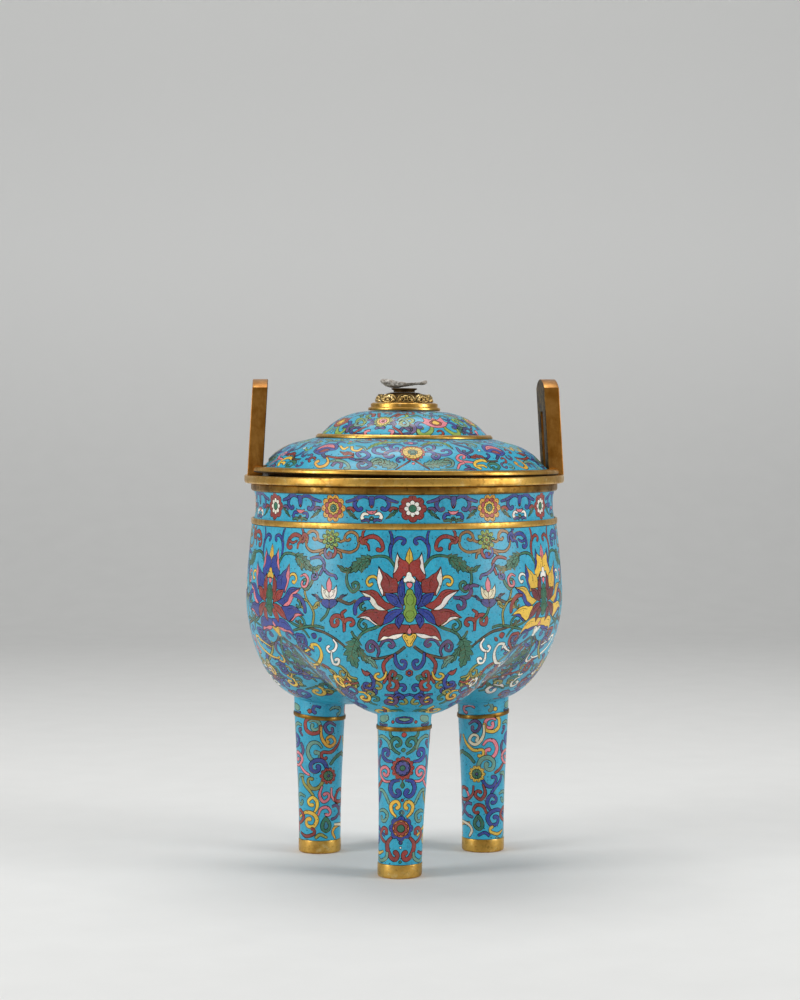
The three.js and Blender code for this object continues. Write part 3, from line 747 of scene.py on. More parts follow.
def pouch_circle(share, inset=0.0):
    """The belly's three pouches are stacks of circles whose middles move out while they shrink: how far out
    the middle is, the circle's radius and its height, at this share of the way down."""
    p, beyond = POUCH, BELLY["radius"] - inset - POUCH["reach"]
    outside = p["reach"] + beyond * (1 - share ** p["swell"]) ** (1 / p["swell"])
    offset = p["reach"] * np.sin(np.pi / 2 * share) ** p["spread"]
    return offset, outside - offset, p["start"] - (p["start"] - p["bottom"] - inset) * share


def under_pouch(side):
    """A change of shape that ends a leg tube just inside the pouch it stands under. The height over a point
    is that of the lowest circle which still reaches it."""
    turn, reach = math.radians(LEGS[side]["turn"]), LEGS[side]["reach"]
    offset, radius, height = pouch_circle(np.linspace(0.6, 1, 500))
    angles, radii, lip = np.linspace(-np.pi, np.pi, 121), np.array([22, 29]), 2.0
    at = upright(turn, reach, 0.0) + upright(*np.meshgrid(angles, radii, indexing="ij"), 0.0)
    gap = np.linalg.norm(at[..., None, :] - upright(turn, offset, 0 * offset), axis=-1)
    top = height[(gap <= radius).sum(-1) - 1]

    def cut(angle, radius, z):
        inner, outer = np.interp(angle, angles, top[:, 0]), np.interp(angle, angles, top[:, 1])
        last = inner + (outer - inner) * (radius - radii[0]) / (radii[1] - radii[0]) - lip
        over = np.clip((z - last) / (LEG_OUTLINE[0][1] - last), 0, 1)
        return radius, np.where(over > 0, last + over * (lip + 0.6), z)
    return cut


# The right half of what faces outwards on a leg, from over its ring down to the foot.
LEG_FRONT = (
    cell("cobalt", *whole((1, 15), (8, 16.5), (9.5, 19), (7.5, 22), (0, 23)))
    + cell("sage", *whole((1, 16.5), (5.5, 17), (5.5, 19), (1, 20.5)))
    + cell("sage", (18, 14.5), (28, 16), (30, 21), (23, 23), (16.5, 19.5))
    + flower(11.6, 21.2, ("red", 1.9)) + band("navy", 3, (17.5, 24.5), (24.5, 25.5), (30, 24))
    + band("leaf", 3.2, (8, 38), (13.5, 35), (14.5, 31), root=1.1)
    + band("green", 3.8, (3, 53), (9, 49.5), (13, 44.5), (12, 39), (7.5, 36.8), (3.8, 39.4),
        curl=(6.6, 42.4), turns=0.4)
    + band("sage", 3.6, (13, 48.5), (16.5, 40.5), (24, 36.5), (30, 37.5), root=0.8)
    + band("purple", 3.2, (31, 42), (26.5, 42.5), (30.5, 48), root=0.9)
    + band("cobalt", 4.4, (10.5, 61), (17.5, 60.5), (23.5, 56.5), (23.5, 51), (18, 49), (15.5, 52.5),
        curl=(18.5, 54), turns=0.2)
    + band("pink", 3.8, (12, 81), (20, 81), (27, 76), (27, 70.5), (20, 67), (15.5, 69.5), curl=(19.5, 72.5))
    + band("cobalt", 4.6, (2.6, 79.6), (9.6, 80.8), (12.8, 86.8), (10.8, 93.2), (6.6, 95.8), (3, 93.6),
        curl=(5.6, 91.4), turns=0.3)
    + band("sage", 3.6, (29.5, 91), (23, 91), (18, 96), (14, 103), root=0.8)
    + band("yellow", 4, (5, 117), (10, 112), (11.5, 106), (8.6, 101.8), (4.8, 101.2), (2.9, 104.4),
        curl=(5.6, 106.4), turns=0.3)
    + band("sage", 3.8, (29, 113), (21, 111), (15.5, 114.5), (17, 120.5), curl=(21.5, 118), turns=0.4)
    + band("brick", 4, (13.5, 144), (20.5, 141), (25, 135.5), (20, 129), (15.5, 130), curl=(17.5, 134),
        turns=0.2)
    + band("brick", 5, (9, 137), (13.8, 143), (13.8, 150), (10, 157), (5.6, 159.4), (3.1, 156.6),
        curl=(6.2, 153.6), turns=0.3)
    + band("sage", 3.6, (14, 152), (15.5, 158.5), (23, 162.5), (30, 160), root=0.9)
    + flower(0, 33.5, ("red", 2.8)) + flower(0, 48.8, ("green", 2.4)))
# What stands on the middle line of a leg, with the round flowers.
LEG_BEADS = (
    flower(0, 67.5, ("red", 12.4, 12, 0.16, 0.5), ("navy", 8.6), ("violet", 7.8, 8, 0.2, 0), ("green", 3.2))
    + spokes(0, 67.5, 8.8, 10.8, 12, tilt=0.1)
    + flower(0, 128.2, ("cobalt", 12.8, 8, 0.18, 0.5), ("orange", 8.8), ("brick", 7.8, 8, 0.2, 0),
        ("green", 4.2)) + spokes(0, 128.2, 9, 10.8, 8, tilt=0.1)
    + cell("green", *whole((0, 79), (1, 81.5), (2.5, 85), (0, 88))) + flower(0, 99.6, ("brick", 1.8))
    + flower(0, 112.6, ("deep", 3), ("sage", 1.6)) + flower(0, 142, ("navy", 2.2))
    + flower(0, 147, ("white", 1.6)) + flower(0, 161.5, ("green", 1.8)))
# What goes round the side of a leg to its back: scrolls of all colours round a red rosette.
LEG_FLANK = (
    band("sage", 3.8, (-0.5, 39), (5.5, 36.5), (11, 39.5), (10.5, 45.5), (4.5, 47), curl=(5.5, 42.5),
        turns=0.3)
    + band("brick", 4.2, (1, 33.5), (-4.5, 39), (-4, 47), (2.5, 51), (10.5, 49), (12.5, 43), root=0.8)
    + band("amber", 3.8, (13, 43), (12.5, 53.5), (16.5, 62), (22.5, 65), (28.5, 61), (25.5, 55.5),
        curl=(21.5, 59))
    + band("sage", 4.4, (13, 66), (8, 60.5), (1, 61.5), (-3, 69), (-0.5, 76.5), (5.5, 80), curl=(6, 73.5))
    + band("purple", 3.6, (30, 43.5), (22.5, 39), (17, 43), (18.5, 48.5), curl=(23, 47))
    + band("brick", 3.6, (38.5, 55), (32.5, 64.5), (23, 71), (14, 70.5), curl=(16, 75))
    + band("cobalt", 4.8, (16.5, 98.5), (18, 89), (14.5, 81), (7, 79), (1, 83.5), (1.5, 89.5),
        curl=(6.5, 87)) + band("green", 3.8, (41.5, 73), (29.5, 77), (22.5, 83.5), root=0.8)
    + band("olive", 3.8, (13.5, 96), (12.5, 103.5), (8, 109), (1.5, 109.5), (-2.5, 104), curl=(1.5, 101.5),
        turns=0.4) + band("olive", 3.6, (-11.5, 97), (-8.5, 104.5), (-2, 111), (2.5, 116.5), root=0.8)
    + band("pink", 3.6, (12.5, 107), (9.5, 116.5), (13.5, 123.5), (19, 121), curl=(16, 117.5))
    + band("pink", 3.4, (22.5, 109), (23.5, 119), (31.5, 125), (43, 123), curl=(32.5, 118.5), turns=0.4)
    + band("yellow", 4, (2.5, 136.5), (6.5, 130), (6.5, 123), (2, 119), (-3, 122.5), curl=(1, 125),
        turns=0.4)
    + band("yellow", 4.4, (-18, 142), (-6.5, 135.5), (2.5, 137), (6.5, 143), (3, 150), (-3, 150.5),
        curl=(-2, 145))
    + band("pink", 3.4, (7.5, 138.5), (11, 131), (17.5, 129.5), (21.5, 134), curl=(17.5, 135.5), turns=0.4)
    + band("purple", 3.6, (23.5, 129), (30.5, 128.5), (35, 135.5), (29, 141), (23.5, 142.5), root=0.8)
    + cell("green", (16, 157), (10.5, 153.5), (10.5, 146), (16, 139), (22, 145.5), (22, 153))
    + cell("deep", (16, 153.5), (13.5, 150.5), (16, 144), (19.5, 149.5))
    + band("amber", 3.6, (44, 149), (29, 151), (24, 156.5), (27, 163), root=0.8)
    + band("brick", 3.6, (-15.5, 157.5), (-6.5, 161), (2, 158.5), curl=(0.5, 154.5), turns=0.4)
    + band("olive", 3.4, (4, 162.5), (9.5, 158.5), (16, 161.5), root=0.9)
    + band("purple", 3.6, (-12, 61), (-9, 69), (-12.5, 78), root=0.8)
    + band("pink", 3.4, (-15, 85), (-8, 91.5), (-1.5, 95), root=0.8)
    + flower(0.9, 27.2, ("brick", 3, 6, 0.2, 0))
    + band("cobalt", 3.8, (13, 23.5), (7.5, 20.5), (4.5, 25), curl=(7.5, 27), turns=0.3)
    + band("sage", 3.6, (22.5, 26), (28.5, 23), (36.5, 26), curl=(31.5, 29), turns=0.3)
    + flower(19.4, 96.4, ("brick", 9.6, 10, 0.2, 0.5), ("leaf", 5.8), ("navy", 2))
    + spokes(19.4, 96.4, 2, 8.4, 10))


OTHER_FLANK = {"amber": "cream", "sage": "pink", "brick": "yellow", "cobalt": "sage", "yellow": "cobalt",
               "pink": "brick", "olive": "cobalt"}


def leg_tubes():
    flank = moved(LEG_FLANK, d=LEGS["left"]["ring"] - LEGS["front"]["ring"])
    inner = [[r - LEG_WALL, z] for r, z in reversed(LEG_OUTLINE)]
    knots = np.array(LEG_OUTLINE)
    height = np.linspace(knots[0, 1], knots[-1, 1], 60)
    outer = np.stack([np.interp(-height, -knots[:, 1], knots[:, 0]), height], 1)
    section = Section(np.vstack([outer, inner]))
    for name, leg in LEGS.items():
        wall = Wall(section, section.at[len(outer) - 1], 25.0, 64, seed=11 + len(name), waver=0.2)
        lower_by = LEGS["front"]["ring"] - leg["ring"]
        for flip, colours in ((1, {}), (-1, OTHER_FLANK)):
            wall.lay(flank, leg["turn"] + 90 * flip, colours, down=lower_by, flip=flip)
        for flip in (1, -1):
            wall.lay(LEG_FRONT, leg["turn"], down=lower_by, flip=flip)
        wall.lay(LEG_BEADS, leg["turn"], down=lower_by)
        enamelled_piece(f"{name}_leg", "vessel", wall, ENAMEL, [f"leg_{name}_tube"], shape=under_pouch(name),
                        stand=leg_stand(name))


leg_tubes()


# The thin gilt ring round each leg near its top: a half-round wire, bent to a hoop and soldered on. On the
# rear legs it sits a little higher on the outer side: the height rises with the cosine of the angle from
# there.
def leg_rings():
    section = np.array([[0, 2.2], [0.6, 2], [0.9, 0], [0.6, -2], [0, -2.2]])
    knots = np.array(LEG_OUTLINE)

    def tilted(angle, radius, z):
        return radius, z + rise * radius * np.cos(angle - turn)

    for side, leg in LEGS.items():
        turn, rise = math.radians(leg["turn"]), 0.0 if side == "front" else 0.09
        inner = np.interp(-leg["ring"] - 2, -knots[:, 1], knots[:, 0]) + 0.3
        # Painted shade: the rings take the darker copy of the gilt.
        turned_piece(f"{side}_leg_ring", "vessel", soften(section + (inner, leg["ring"]), 0.6), GILT_SHADED,
                     [f"leg_{side}_ring"], "gilt_bronze", columns=72, shape=tilted, stand=leg_stand(side))


leg_rings()


# The belly: a deep round copper bowl, enamelled outside over its whole height and gilt inside. Six large
# lotus flowers stand round it on a winding vine, with a bud hanging and a serrated flower between each two
# of them.
LOTUSES = {-1.75: 0, 55.45: 1, 114.5: 2, 179.2: 0, 244.0: 1, 300.85: 2}  # angle: palette


def from_pouch(angle):
    """The angle to the nearest pouch as a share of the way to the valley, 60 degrees, rounded at the
    valley."""
    turns = [leg["turn"] for leg in LEGS.values()]
    edges = np.array([*turns, turns[0] + 360]) - turns[0]
    degrees = (np.degrees(angle) - turns[0]) % 360
    which = np.clip(np.searchsorted(edges, degrees, "right") - 1, 0, 2)
    half = (edges[which + 1] - edges[which]) / 2
    valley = POUCH["valley"]
    near = np.hypot(np.abs(degrees - edges[which] - half) / half * 60, valley) - valley
    return np.radians(60 * (1 - near / (math.hypot(60, valley) - valley)))


class Bowl:
    """The belly's wall, read as a Section is: down the outside to the middle of the underside, up the
    inside. Each direction has its own outline, kept in a table at every degree and about every millimetre.
    In a direction `away` from a pouch's middle, the wall lies where the line from the axis leaves the
    pouch's circles. Distance is measured down the front pouch, and elsewhere the part in the pouches is
    drawn out to the same length."""

    def __init__(self):
        self.angles = np.radians(np.arange(-180, 181))
        share = np.linspace(1, 0, 90)
        radius, widest = BELLY["radius"], BELLY["widest"]
        upper = np.stack([radius - (radius - BELLY["top_radius"]) * share ** BELLY["shoulder"],
                          widest + (BELLY["top"] - widest) * share], 1)
        upper = np.vstack([upper, [[radius, z] for z in np.linspace(widest, POUCH["start"], 12)[1:]]])
        run = np.append(0, np.cumsum(np.linalg.norm(np.diff(upper, axis=0), axis=1)))
        self.start = run[-1]
        outside, self.lengths = self.pouches(0.0)
        inside, _ = self.pouches(BELLY["wall"])
        self.front = self.lengths[180 + round(LEGS["front"]["turn"])]
        rows = np.append(run, self.start + np.linspace(0, self.front, outside.shape[1])[1:])
        around = len(self.angles)
        table = [np.concatenate([np.broadcast_to(upper - (inset, 0), (around, *upper.shape)), part[:, 1:]], 1)
                 for inset, part in ((0.0, outside), (BELLY["wall"], inside))]
        self.table = np.concatenate([table[0], table[1][:, ::-1]], 1)
        self.outer = rows[-1]
        self.rows = np.concatenate([rows, 2 * self.outer + 0.01 - rows[::-1]])
        self.length = self.rows[-1] + BELLY["wall"]
        self.table = np.concatenate([self.table, self.table[:, :1]], 1)
        self.rows = np.append(self.rows, self.length)
        self.at = np.concatenate([np.arange(0, self.outer, ROW), [self.outer, self.outer + 0.01],
                                  np.arange(self.outer + ROW, self.rows[-2], ROW), self.rows[-2:]])

    def pouches(self, inset):
        """The outlines under `start`, evenly spaced along their own lengths, and these lengths."""
        away = from_pouch(self.angles)[:, None]
        share = np.linspace(0, 1, 600)[1:]
        offset, radius, _ = pouch_circle(share, inset)
        deepest = np.interp(-np.sin(away), -radius / offset, share)
        middle = np.interp(-1.0, -radius / offset, share)
        t = np.linspace(0, 1, 200)
        share = np.concatenate([deepest * (1 - (1 - t) ** 2), deepest - (deepest - middle) * t[1:] ** 2], 1)
        side = np.where(np.arange(share.shape[1]) < len(t), 1, -1)
        offset, radius, height = pouch_circle(share, inset)
        half = np.sqrt(np.maximum(radius ** 2 - (offset * np.sin(away)) ** 2, 0))
        line = np.stack([np.maximum(offset * np.cos(away) + side * half, 0), height], -1)
        line[:, -1, 0] = 0
        run = np.cumsum(np.linalg.norm(np.diff(line, axis=1), axis=2), axis=1)
        run = np.concatenate([np.zeros((len(run), 1)), run], 1)
        lengths, apart = run[:, -1], 2.0 * np.arange(len(run))[:, None]
        wanted = (np.linspace(0, 1, 260) + apart).ravel()
        known = (run / lengths[:, None] + apart).ravel()
        even = [np.interp(wanted, known, line[..., k].ravel()).reshape(len(run), -1) for k in (0, 1)]
        return np.stack(even, -1), lengths

    def place(self, distance, angle):
        row = np.interp(distance, self.rows, np.arange(len(self.rows)))
        column = (np.degrees(angle) + 180) % 360
        row, column = np.broadcast_arrays(row, column)
        i, j = np.minimum(column.astype(int), 359), np.minimum(row.astype(int), len(self.rows) - 2)
        s, t = (column - i)[..., None], (row - j)[..., None]
        near = self.table[i, j] * (1 - t) + self.table[i, j + 1] * t
        next_ = self.table[i + 1, j] * (1 - t) + self.table[i + 1, j + 1] * t
        found = near * (1 - s) + next_ * s
        return found[..., 0], found[..., 1]

    def drawn(self, distance, angle):
        length = np.interp((np.asarray(angle) + np.pi) % (2 * np.pi) - np.pi, self.angles, self.lengths)
        return np.where(distance > self.start, self.start + (distance - self.start) * self.front / length,
                        distance)

    def facing(self, distance, angle):
        """The outward normal, from the slopes of the table over one of its cells to either side."""
        outside, inside = distance < self.outer, distance < self.rows[-2]
        low = np.where(outside, 0, np.where(inside, self.outer + 0.01, self.rows[-2]))
        high = np.where(outside, self.outer, np.where(inside, self.rows[-2], self.length))
        step, turn = 1.0, math.radians(1)
        before, after = np.maximum(distance - step, low), np.minimum(distance + step, high)
        down = upright(angle, *self.place(after, angle)) - upright(angle, *self.place(before, angle))
        left, right = angle - turn, angle + turn
        across = upright(right, *self.place(distance, right)) - upright(left, *self.place(distance, left))
        normal = np.cross(down, across)
        return normal / np.maximum(np.linalg.norm(normal, axis=-1, keepdims=True), 1e-9)


# The right half of a lotus seen from the side, from its top tip down to the heart under it.
LOTUS_HALF = (
    cell("petal", *corner(12, 20.6), (9.6, 25.6), (6.4, 28.4), (3.2, 29.4), (0, 30.4), (0, 46), (5, 45),
        (7.5, 48), (11, 51), (15, 49), (16.4, 44), (14.5, 36), (12, 29))
    + cell("lining", *corner(12.2, 21.5), (14.2, 30), (15.2, 38), *corner(16.6, 44.4), (13, 41),
        (10.2, 35.5), (10.8, 31), (9.6, 27))
    + cell("petal", *corner(31.6, 109.6), (30, 102), (26.4, 95.4), (21, 91.8), (16, 90.6), (10.5, 91),
        (5, 91.6), (0, 92.5), (0, 100.6), (7, 104), (13.5, 106), (20, 105.5), (26, 107))
    + cell("lining", *corner(31, 109.4), (25.5, 103.4), (20, 103.6), (14, 101.4), *corner(3.4, 100.2),
        (8, 104.6), (13.8, 107), (20, 106.2), (26, 107.8))
    + cell("petal", *corner(53, 86.2), (48.6, 82.4), (43, 78.6), (35.7, 77), (28.4, 77.8), (21.5, 78.4),
        (22.5, 84), (26, 92), (29, 94), (34, 91), (41, 87.5))
    + cell("lining", *corner(52.6, 86.4), (46, 84.4), (40, 85.2), (36.5, 89), *corner(28.6, 94.2),
        (34.5, 93.4), (40, 89.6), (45, 87.6))
    + cell("petal", *corner(50.3, 58.3), (44.5, 58.8), (37.2, 58), (31.5, 60), (28.4, 64), (23.5, 69.5),
        (14, 73.4), (20, 77.4), (27, 78.5), (33, 73), (40, 65.5))
    + cell("lining", *corner(50, 58.6), (43, 61), (37.5, 63.8), (33.5, 67.5), (31, 72.5), (27, 75),
        *corner(22, 78.5), (30, 78.8), (35.5, 75.4), (39, 70), (42, 66.5))
    + cell("petal", *corner(30.6, 35), (26, 40.5), (21.5, 43), (17.5, 46.5), (12.5, 48), (11, 55), (12, 61),
        (19, 62), (26, 64.5), (29, 56), (31.5, 45))
    + cell("lining", *corner(31, 35.2), (28, 41), (26, 47), (28, 53), (25.4, 60), *corner(26.2, 66),
        (30, 58), (32.4, 50), (32, 42))
    + cell("inner", *corner(26.4, 93.4), (25, 85), (20.5, 79), (14, 76.4), (6.6, 76.2), (8.5, 80.5),
        (13.5, 84.5), (18, 89.6))
    + cell("inner", *corner(24.6, 60.8), (18, 61.4), (12.8, 63), (10, 69), (6.4, 75.6), (12, 75),
        (18.5, 72.4), (23, 67))
    + cell("inner", *corner(10, 97), (14.4, 91), (14, 85.6), (9.5, 80.8), (6, 81.5), (5.2, 86), (7.5, 91.5))
    + cell("inner", *corner(6.4, 46.4), (10.5, 52), (12.6, 60), (11, 68), (7.5, 73.5), (4.6, 70), (4.6, 62),
        (4.4, 54)) + strand((8, 52), (10.6, 58), (9.6, 64), (7.2, 64), (7.4, 61))
    + strand((9, 94), (12, 88), (10, 84), (8, 86))
    + strand((22, 63), (16, 65), (12.4, 70), (14.4, 72.4), (17, 70))
    + strand((24, 88), (19, 82), (13.4, 79)) + strand((46, 60.6), (38, 60.6), (33, 63.4))
    + strand((46, 82.4), (38, 80), (31, 81)) + strand((24, 44), (20, 50), (20, 56))
    + strand((26, 100), (21, 96), (15, 95.4)))
LOTUS_MIDDLE = (
    cell("core", *whole((0, 57), (3.2, 58.5), (4.2, 62), (6.6, 66), (6.4, 71), (5, 74.5), (6.6, 78),
        (7.2, 81.5), (5, 85), (3.5, 88.5), (0, 90)))
    + mirrored(strand((0.6, 62), (3.2, 65), (3.6, 70), (0.8, 73))
        + strand((0.6, 78), (3.4, 79), (4.2, 83), (1, 86)))
    + cell("heart", *whole((0, 40), (2.6, 41.5), (3.2, 44.5), (5.6, 47), (6.2, 50), (4, 51.8), (1.5, 50.5),
        (0, 51))) + cell("blush", *whole((0, 50.5), (3, 51.5), (3.2, 54), (1.5, 56.5), (0, 57.5)))
    + cell("tip", *whole(*corner(0, 16.4), (1.6, 19.5), (3, 22.5), (3.4, 25), (4.3, 27.6), (3.5, 30),
        (1.6, 31.6), (0, 33.8))) + strand((0, 20), (0, 31))
    + cell("blush", *whole((0, 94.5), (2, 97), (2.5, 100), (0, 102.5)))
    + cell("bottom", *whole((0, 103), (3, 101), (6.5, 101.5), (7, 105), (5, 108.5), (3.6, 111), (3, 113.5),
        (0, 115))) + mirrored(strand((0.8, 112), (3, 108), (5.2, 104.5), (3.6, 103.2), (2.6, 105.4))))
# What curls beside the upper half of a lotus, on its right, up to the belt.
SCROLLS_ABOVE = (
    band("s1", 3.6, (18, 29), (19, 20), (17, 13), (11, 8), (6, 9), curl=(7, 12), turns=0.4)
    + band("s1", 2.6, (17, 14), (17, 6), (19, 0), root=1)
    + cell("s3", (49, 6), (45, 6), (40, 8), (44, 14), (48, 14), (51, 10))
    + band("s3", 4.2, (47, 10), (42, 7), (34, 6), (28, 10), (26, 16), curl=(30, 17), turns=0.45)
    + band("s3", 2.6, (45, 12), (41, 14), (40, 19), root=1.2)
    + band("s3", 2.6, (46, 7), (46, 3), (44, 0), root=1)
    + band("ochre", 2.8, (79, 17), (73, 20), (65, 22), (58, 22), (52, 18), (50, 12), root=0.7)
    + band("ochre", 3, (51, 12), (52, 5), (58, 2), (63, 4), (65, 8), curl=(61, 8), turns=0.4)
    + band("ochre", 2.6, (65, 10), (69, 12), (73, 11), root=1.2)
    + band("s4", 3.4, (76, 17), (74, 22), (77, 27), (81, 27), curl=(80, 24), turns=0.3)
    + band("olive", 2.4, (73, 22), (69, 24), (68, 28), root=1)
    + band("stem", 2.6, (14, 36), (18, 30), (23, 26), (31, 25), (40, 27), root=1)
    + leaf("foliage", 15, (38, 26), (45, 30), (52, 35), (61, 42), lobes=5)
    + leaf("foliage", 11, (40, 28), (47, 36), (48, 42), lobes=4)
    + leaf("foliage", 7.5, (57, 38), (64, 40), (73, 35), lobes=3)
    + band("foliage", 3.2, (62, 40), (63, 48), (61, 55), (56, 60), (51, 57), curl=(54, 54), turns=0.75)
    + band("s2", 3, (31, 50), (34, 46), (39, 46), (42, 50), (40, 54), curl=(38, 52), turns=0.35)
    + band("ochre", 2.6, (73, 22), (69, 24), (68, 28), root=1))
# What curls on the right of the lower half of a lotus.
SCROLLS_BESIDE = (
    band("vine", 2.6, (4, 114), (9, 118), (16, 122), (24, 124), (34, 126), (45, 124), root=1)
    + band("stem", 2.8, (27, 92), (34, 96), (41, 98), (48, 102), (52, 108), root=1)
    + band("foliage", 2.6, (36, 89), (43, 86), (49, 89), (51, 94), (47, 98), curl=(46, 94), turns=0.6)
    + band("s5", 3.6, (32, 124), (30, 118), (33, 112), (38, 109), (42, 113), (41, 118), curl=(38, 115))
    + band("s5", 3.4, (29, 114), (25, 108), (19, 107), (15, 111), curl=(18, 112))
    + band("s4", 3.6, (16, 122), (22, 126), (26, 132), (25, 140), (23, 146), (25, 152), root=0.8)
    + band("s2", 3, (23, 139), (25, 146), (30, 149), (34, 146), curl=(30, 144), turns=0.35)
    + band("s4", 3.2, (19, 153), (20, 145), (18, 139), (14, 141), curl=(16, 143), turns=0.35)
    + band("s1", 4, (14, 120), (14, 128), (11, 134), (6, 136), (4, 132), curl=(7, 130), turns=0.4)
    + band("s1", 3.6, (43, 140), (38, 145), (35, 152), (37, 159), (43, 160), curl=(42, 156))
    + cell("s4", (48, 138), (44, 140), (38, 142), (42, 146), (46, 144)))
# Between a front lotus and the next: the vine with its large leaf, and a double curl.
PALE_CURLS = (
    band("vine", 2.6, (124, 92), (112, 97), (99, 100), (87, 102), (75, 108), (64, 116), root=1)
    + leaf("foliage", 21, (53, 106), (56, 116), (57, 125), (52, 138), lobes=6)
    + leaf("foliage", 10, (51, 116), (46, 124), (42, 132), lobes=3)
    + leaf("sage", 9, (45, 125), (38, 129), (32, 137), lobes=3)
    + band("foliage", 2.4, (52, 107), (56, 104), (58, 100), root=1)
    + band("s4", 4.2, (66, 100), (66, 94), (66, 89), (70, 85), (76, 85), (79, 89), (78, 94), curl=(75, 90),
        turns=0.4) + band("s4", 3.8, (66, 92), (63, 88), (58, 88), (56, 91), curl=(59, 92), turns=0.35)
    + band("s4", 3, (67, 86), (68, 82), (64, 79), root=1.1)
    + band("olive", 3.2, (76, 137), (70, 138), (64, 143), (60, 149), (53, 150), root=0.9)
    + band("olive", 2.8, (63, 144), (66, 152), (71, 150), (71, 145), curl=(68, 146), turns=0.4)
    + band("s4", 3.6, (93, 140), (85, 143), (79, 150), (77, 161), (75, 178), root=0.9)
    + band("s4", 2.8, (69, 162), (64, 156), (58, 158), (52, 155), root=1.2)
    + band("s5", 2.8, (68, 176), (62, 164), (56, 164), curl=(58, 170))
    + band("s2", 2.6, (78, 147), (71, 157), (65, 170), root=1)
    + band("pale", 3.2, (78, 108), (74, 114), (76, 120), (82, 123), (85, 120), curl=(82, 118), turns=0.35)
    + band("pale", 3.2, (80, 122), (80, 130), (78, 136), (73, 136), (71, 131), curl=(74, 132), turns=0.4))
# What stands there instead on the right of a side lotus: a horned curl, a dark one and a bud's stems.
SIDE_SCROLLS = (
    band("s1", 3.6, (32, 125), (44, 116), (45, 108), (39, 107), curl=(36, 112))
    + band("s2", 4, (33, 144), (46, 140), (58, 130), (62, 122), (60, 116), (53, 116), curl=(53, 120),
        turns=0.3) + band("s2", 2.6, (50, 119), (42, 124), (33, 128), root=1.4)
    + cell("s1", (56, 105), (62, 103), (64, 107), (58, 110))
    + cell("s1", (66, 108), (70, 108), (67, 112), (63, 112))
    + band("stem", 2.6, (76, 98), (66, 96), (50, 98), (32, 103), root=1)
    + band("olive", 2.6, (61, 96), (65, 84), (62, 76), (57, 70), (54, 62), root=1)
    + leaf("olive", 7, (64, 79), (70, 73), (72, 76), lobes=2)
    + band("olive", 2.4, (59, 72), (53, 70), (49, 75), curl=(52, 76))
    + band("s1", 3.4, (57, 30), (63, 28), (70, 28), (75, 34), (73, 40), (71, 45), root=0.8)
    + band("s5", 3.2, (73, 34), (76, 40), (82, 44), (88, 45), (90, 48), root=0.9)
    + band("blush", 3, (47, 48), (52, 46), (57, 50), (56, 56), curl=(52, 54))
    + band("s5", 3, (66, 42), (68, 48), (64, 50), curl=(64, 47))
    + band("s3", 3, (44, 10), (47, 5), (52, 8), (52, 13), root=0.9)
    + band("s3", 2.6, (27, 12), (33, 14), (38, 12), root=1.1)
    + band("s5", 3.4, (-52, 124), (-38, 118), (-30, 120), curl=(-40, 124), turns=0.4)
    + band("olive", 3, (-24, 121), (-35, 133), (-55, 144), root=0.9)
    + band("s4", 3.4, (-11, 126), (-5, 128), (7, 122), curl=(4, 120), turns=0.3)
    + band("stem", 2.4, (-14, 120), (-11, 130), (-10, 144), (-11, 162), (-14, 186), root=1)
    + band("foliage", 2.4, (-2, 114), (9, 124), (18, 138), (19, 154), (-6, 192), (37, 190), root=1)
    + leaf("foliage", 12, (1, 135), (10, 139), (-2, 160), lobes=4)
    + band("s1", 3, (32, 162), (-6, 192), (-10, 204), root=1))


def scrolls_beneath(seed):
    """On the underside, three rows of small curls down towards the leg, shifted, turned and sized by
    chance."""
    random, made = np.random.default_rng(seed), []
    tints = ["s1", "s4", "olive", "s5", "foliage", "s2"]
    for row, (down, reach, count) in enumerate(((158, 74, 6), (176, 66, 5), (198, 56, 3))):
        for k in range(count):
            first, second = tints[(k + 2 * row) % 6], tints[(k + 2 * row + 3) % 6]
            motif = band(first, 3.6, (-3, 8), (3.4, 7), (7, 1), (4, -4.6), (-1.4, -4), curl=(0.6, -0.4),
                         turns=0.4)
            motif += band(second, 3, (5, 5), (9, 8), (13, 5), curl=(10, 4.4), turns=0.3)
            down_by, turn = random.uniform(-2, 2), random.uniform(-70, 70) + 180 * (k % 2)
            made += moved(motif, reach * (k + 0.5) / count, down + down_by, turn,
                          random.uniform(0.9, 1.1) + 0.1 * row)
    return made


LEFT_CURL = (
    band("s1", 4.8, (38, 67), (45, 67), (51, 71), (54, 77), (54, 82), root=0.5)
    + band("foliage", 2.6, (44, 71), (48, 73), (48, 77), curl=(45, 76), turns=0.4))
RIGHT_CURL = (
    band("s5", 4.6, (43.5, 66.4), (52, 66.8), (59, 65.4), (62.4, 60), (59.4, 54.8), curl=(56.8, 59.2),
        turns=0.2) + band("s5", 3.3, (60.5, 56.5), (64.5, 54.2), (70, 55), root=1.2)
    + band("s5", 3.9, (50, 66.9), (54.9, 70), (54.6, 75.6), (49.8, 77.6), curl=(50.2, 73.6), turns=0.2))
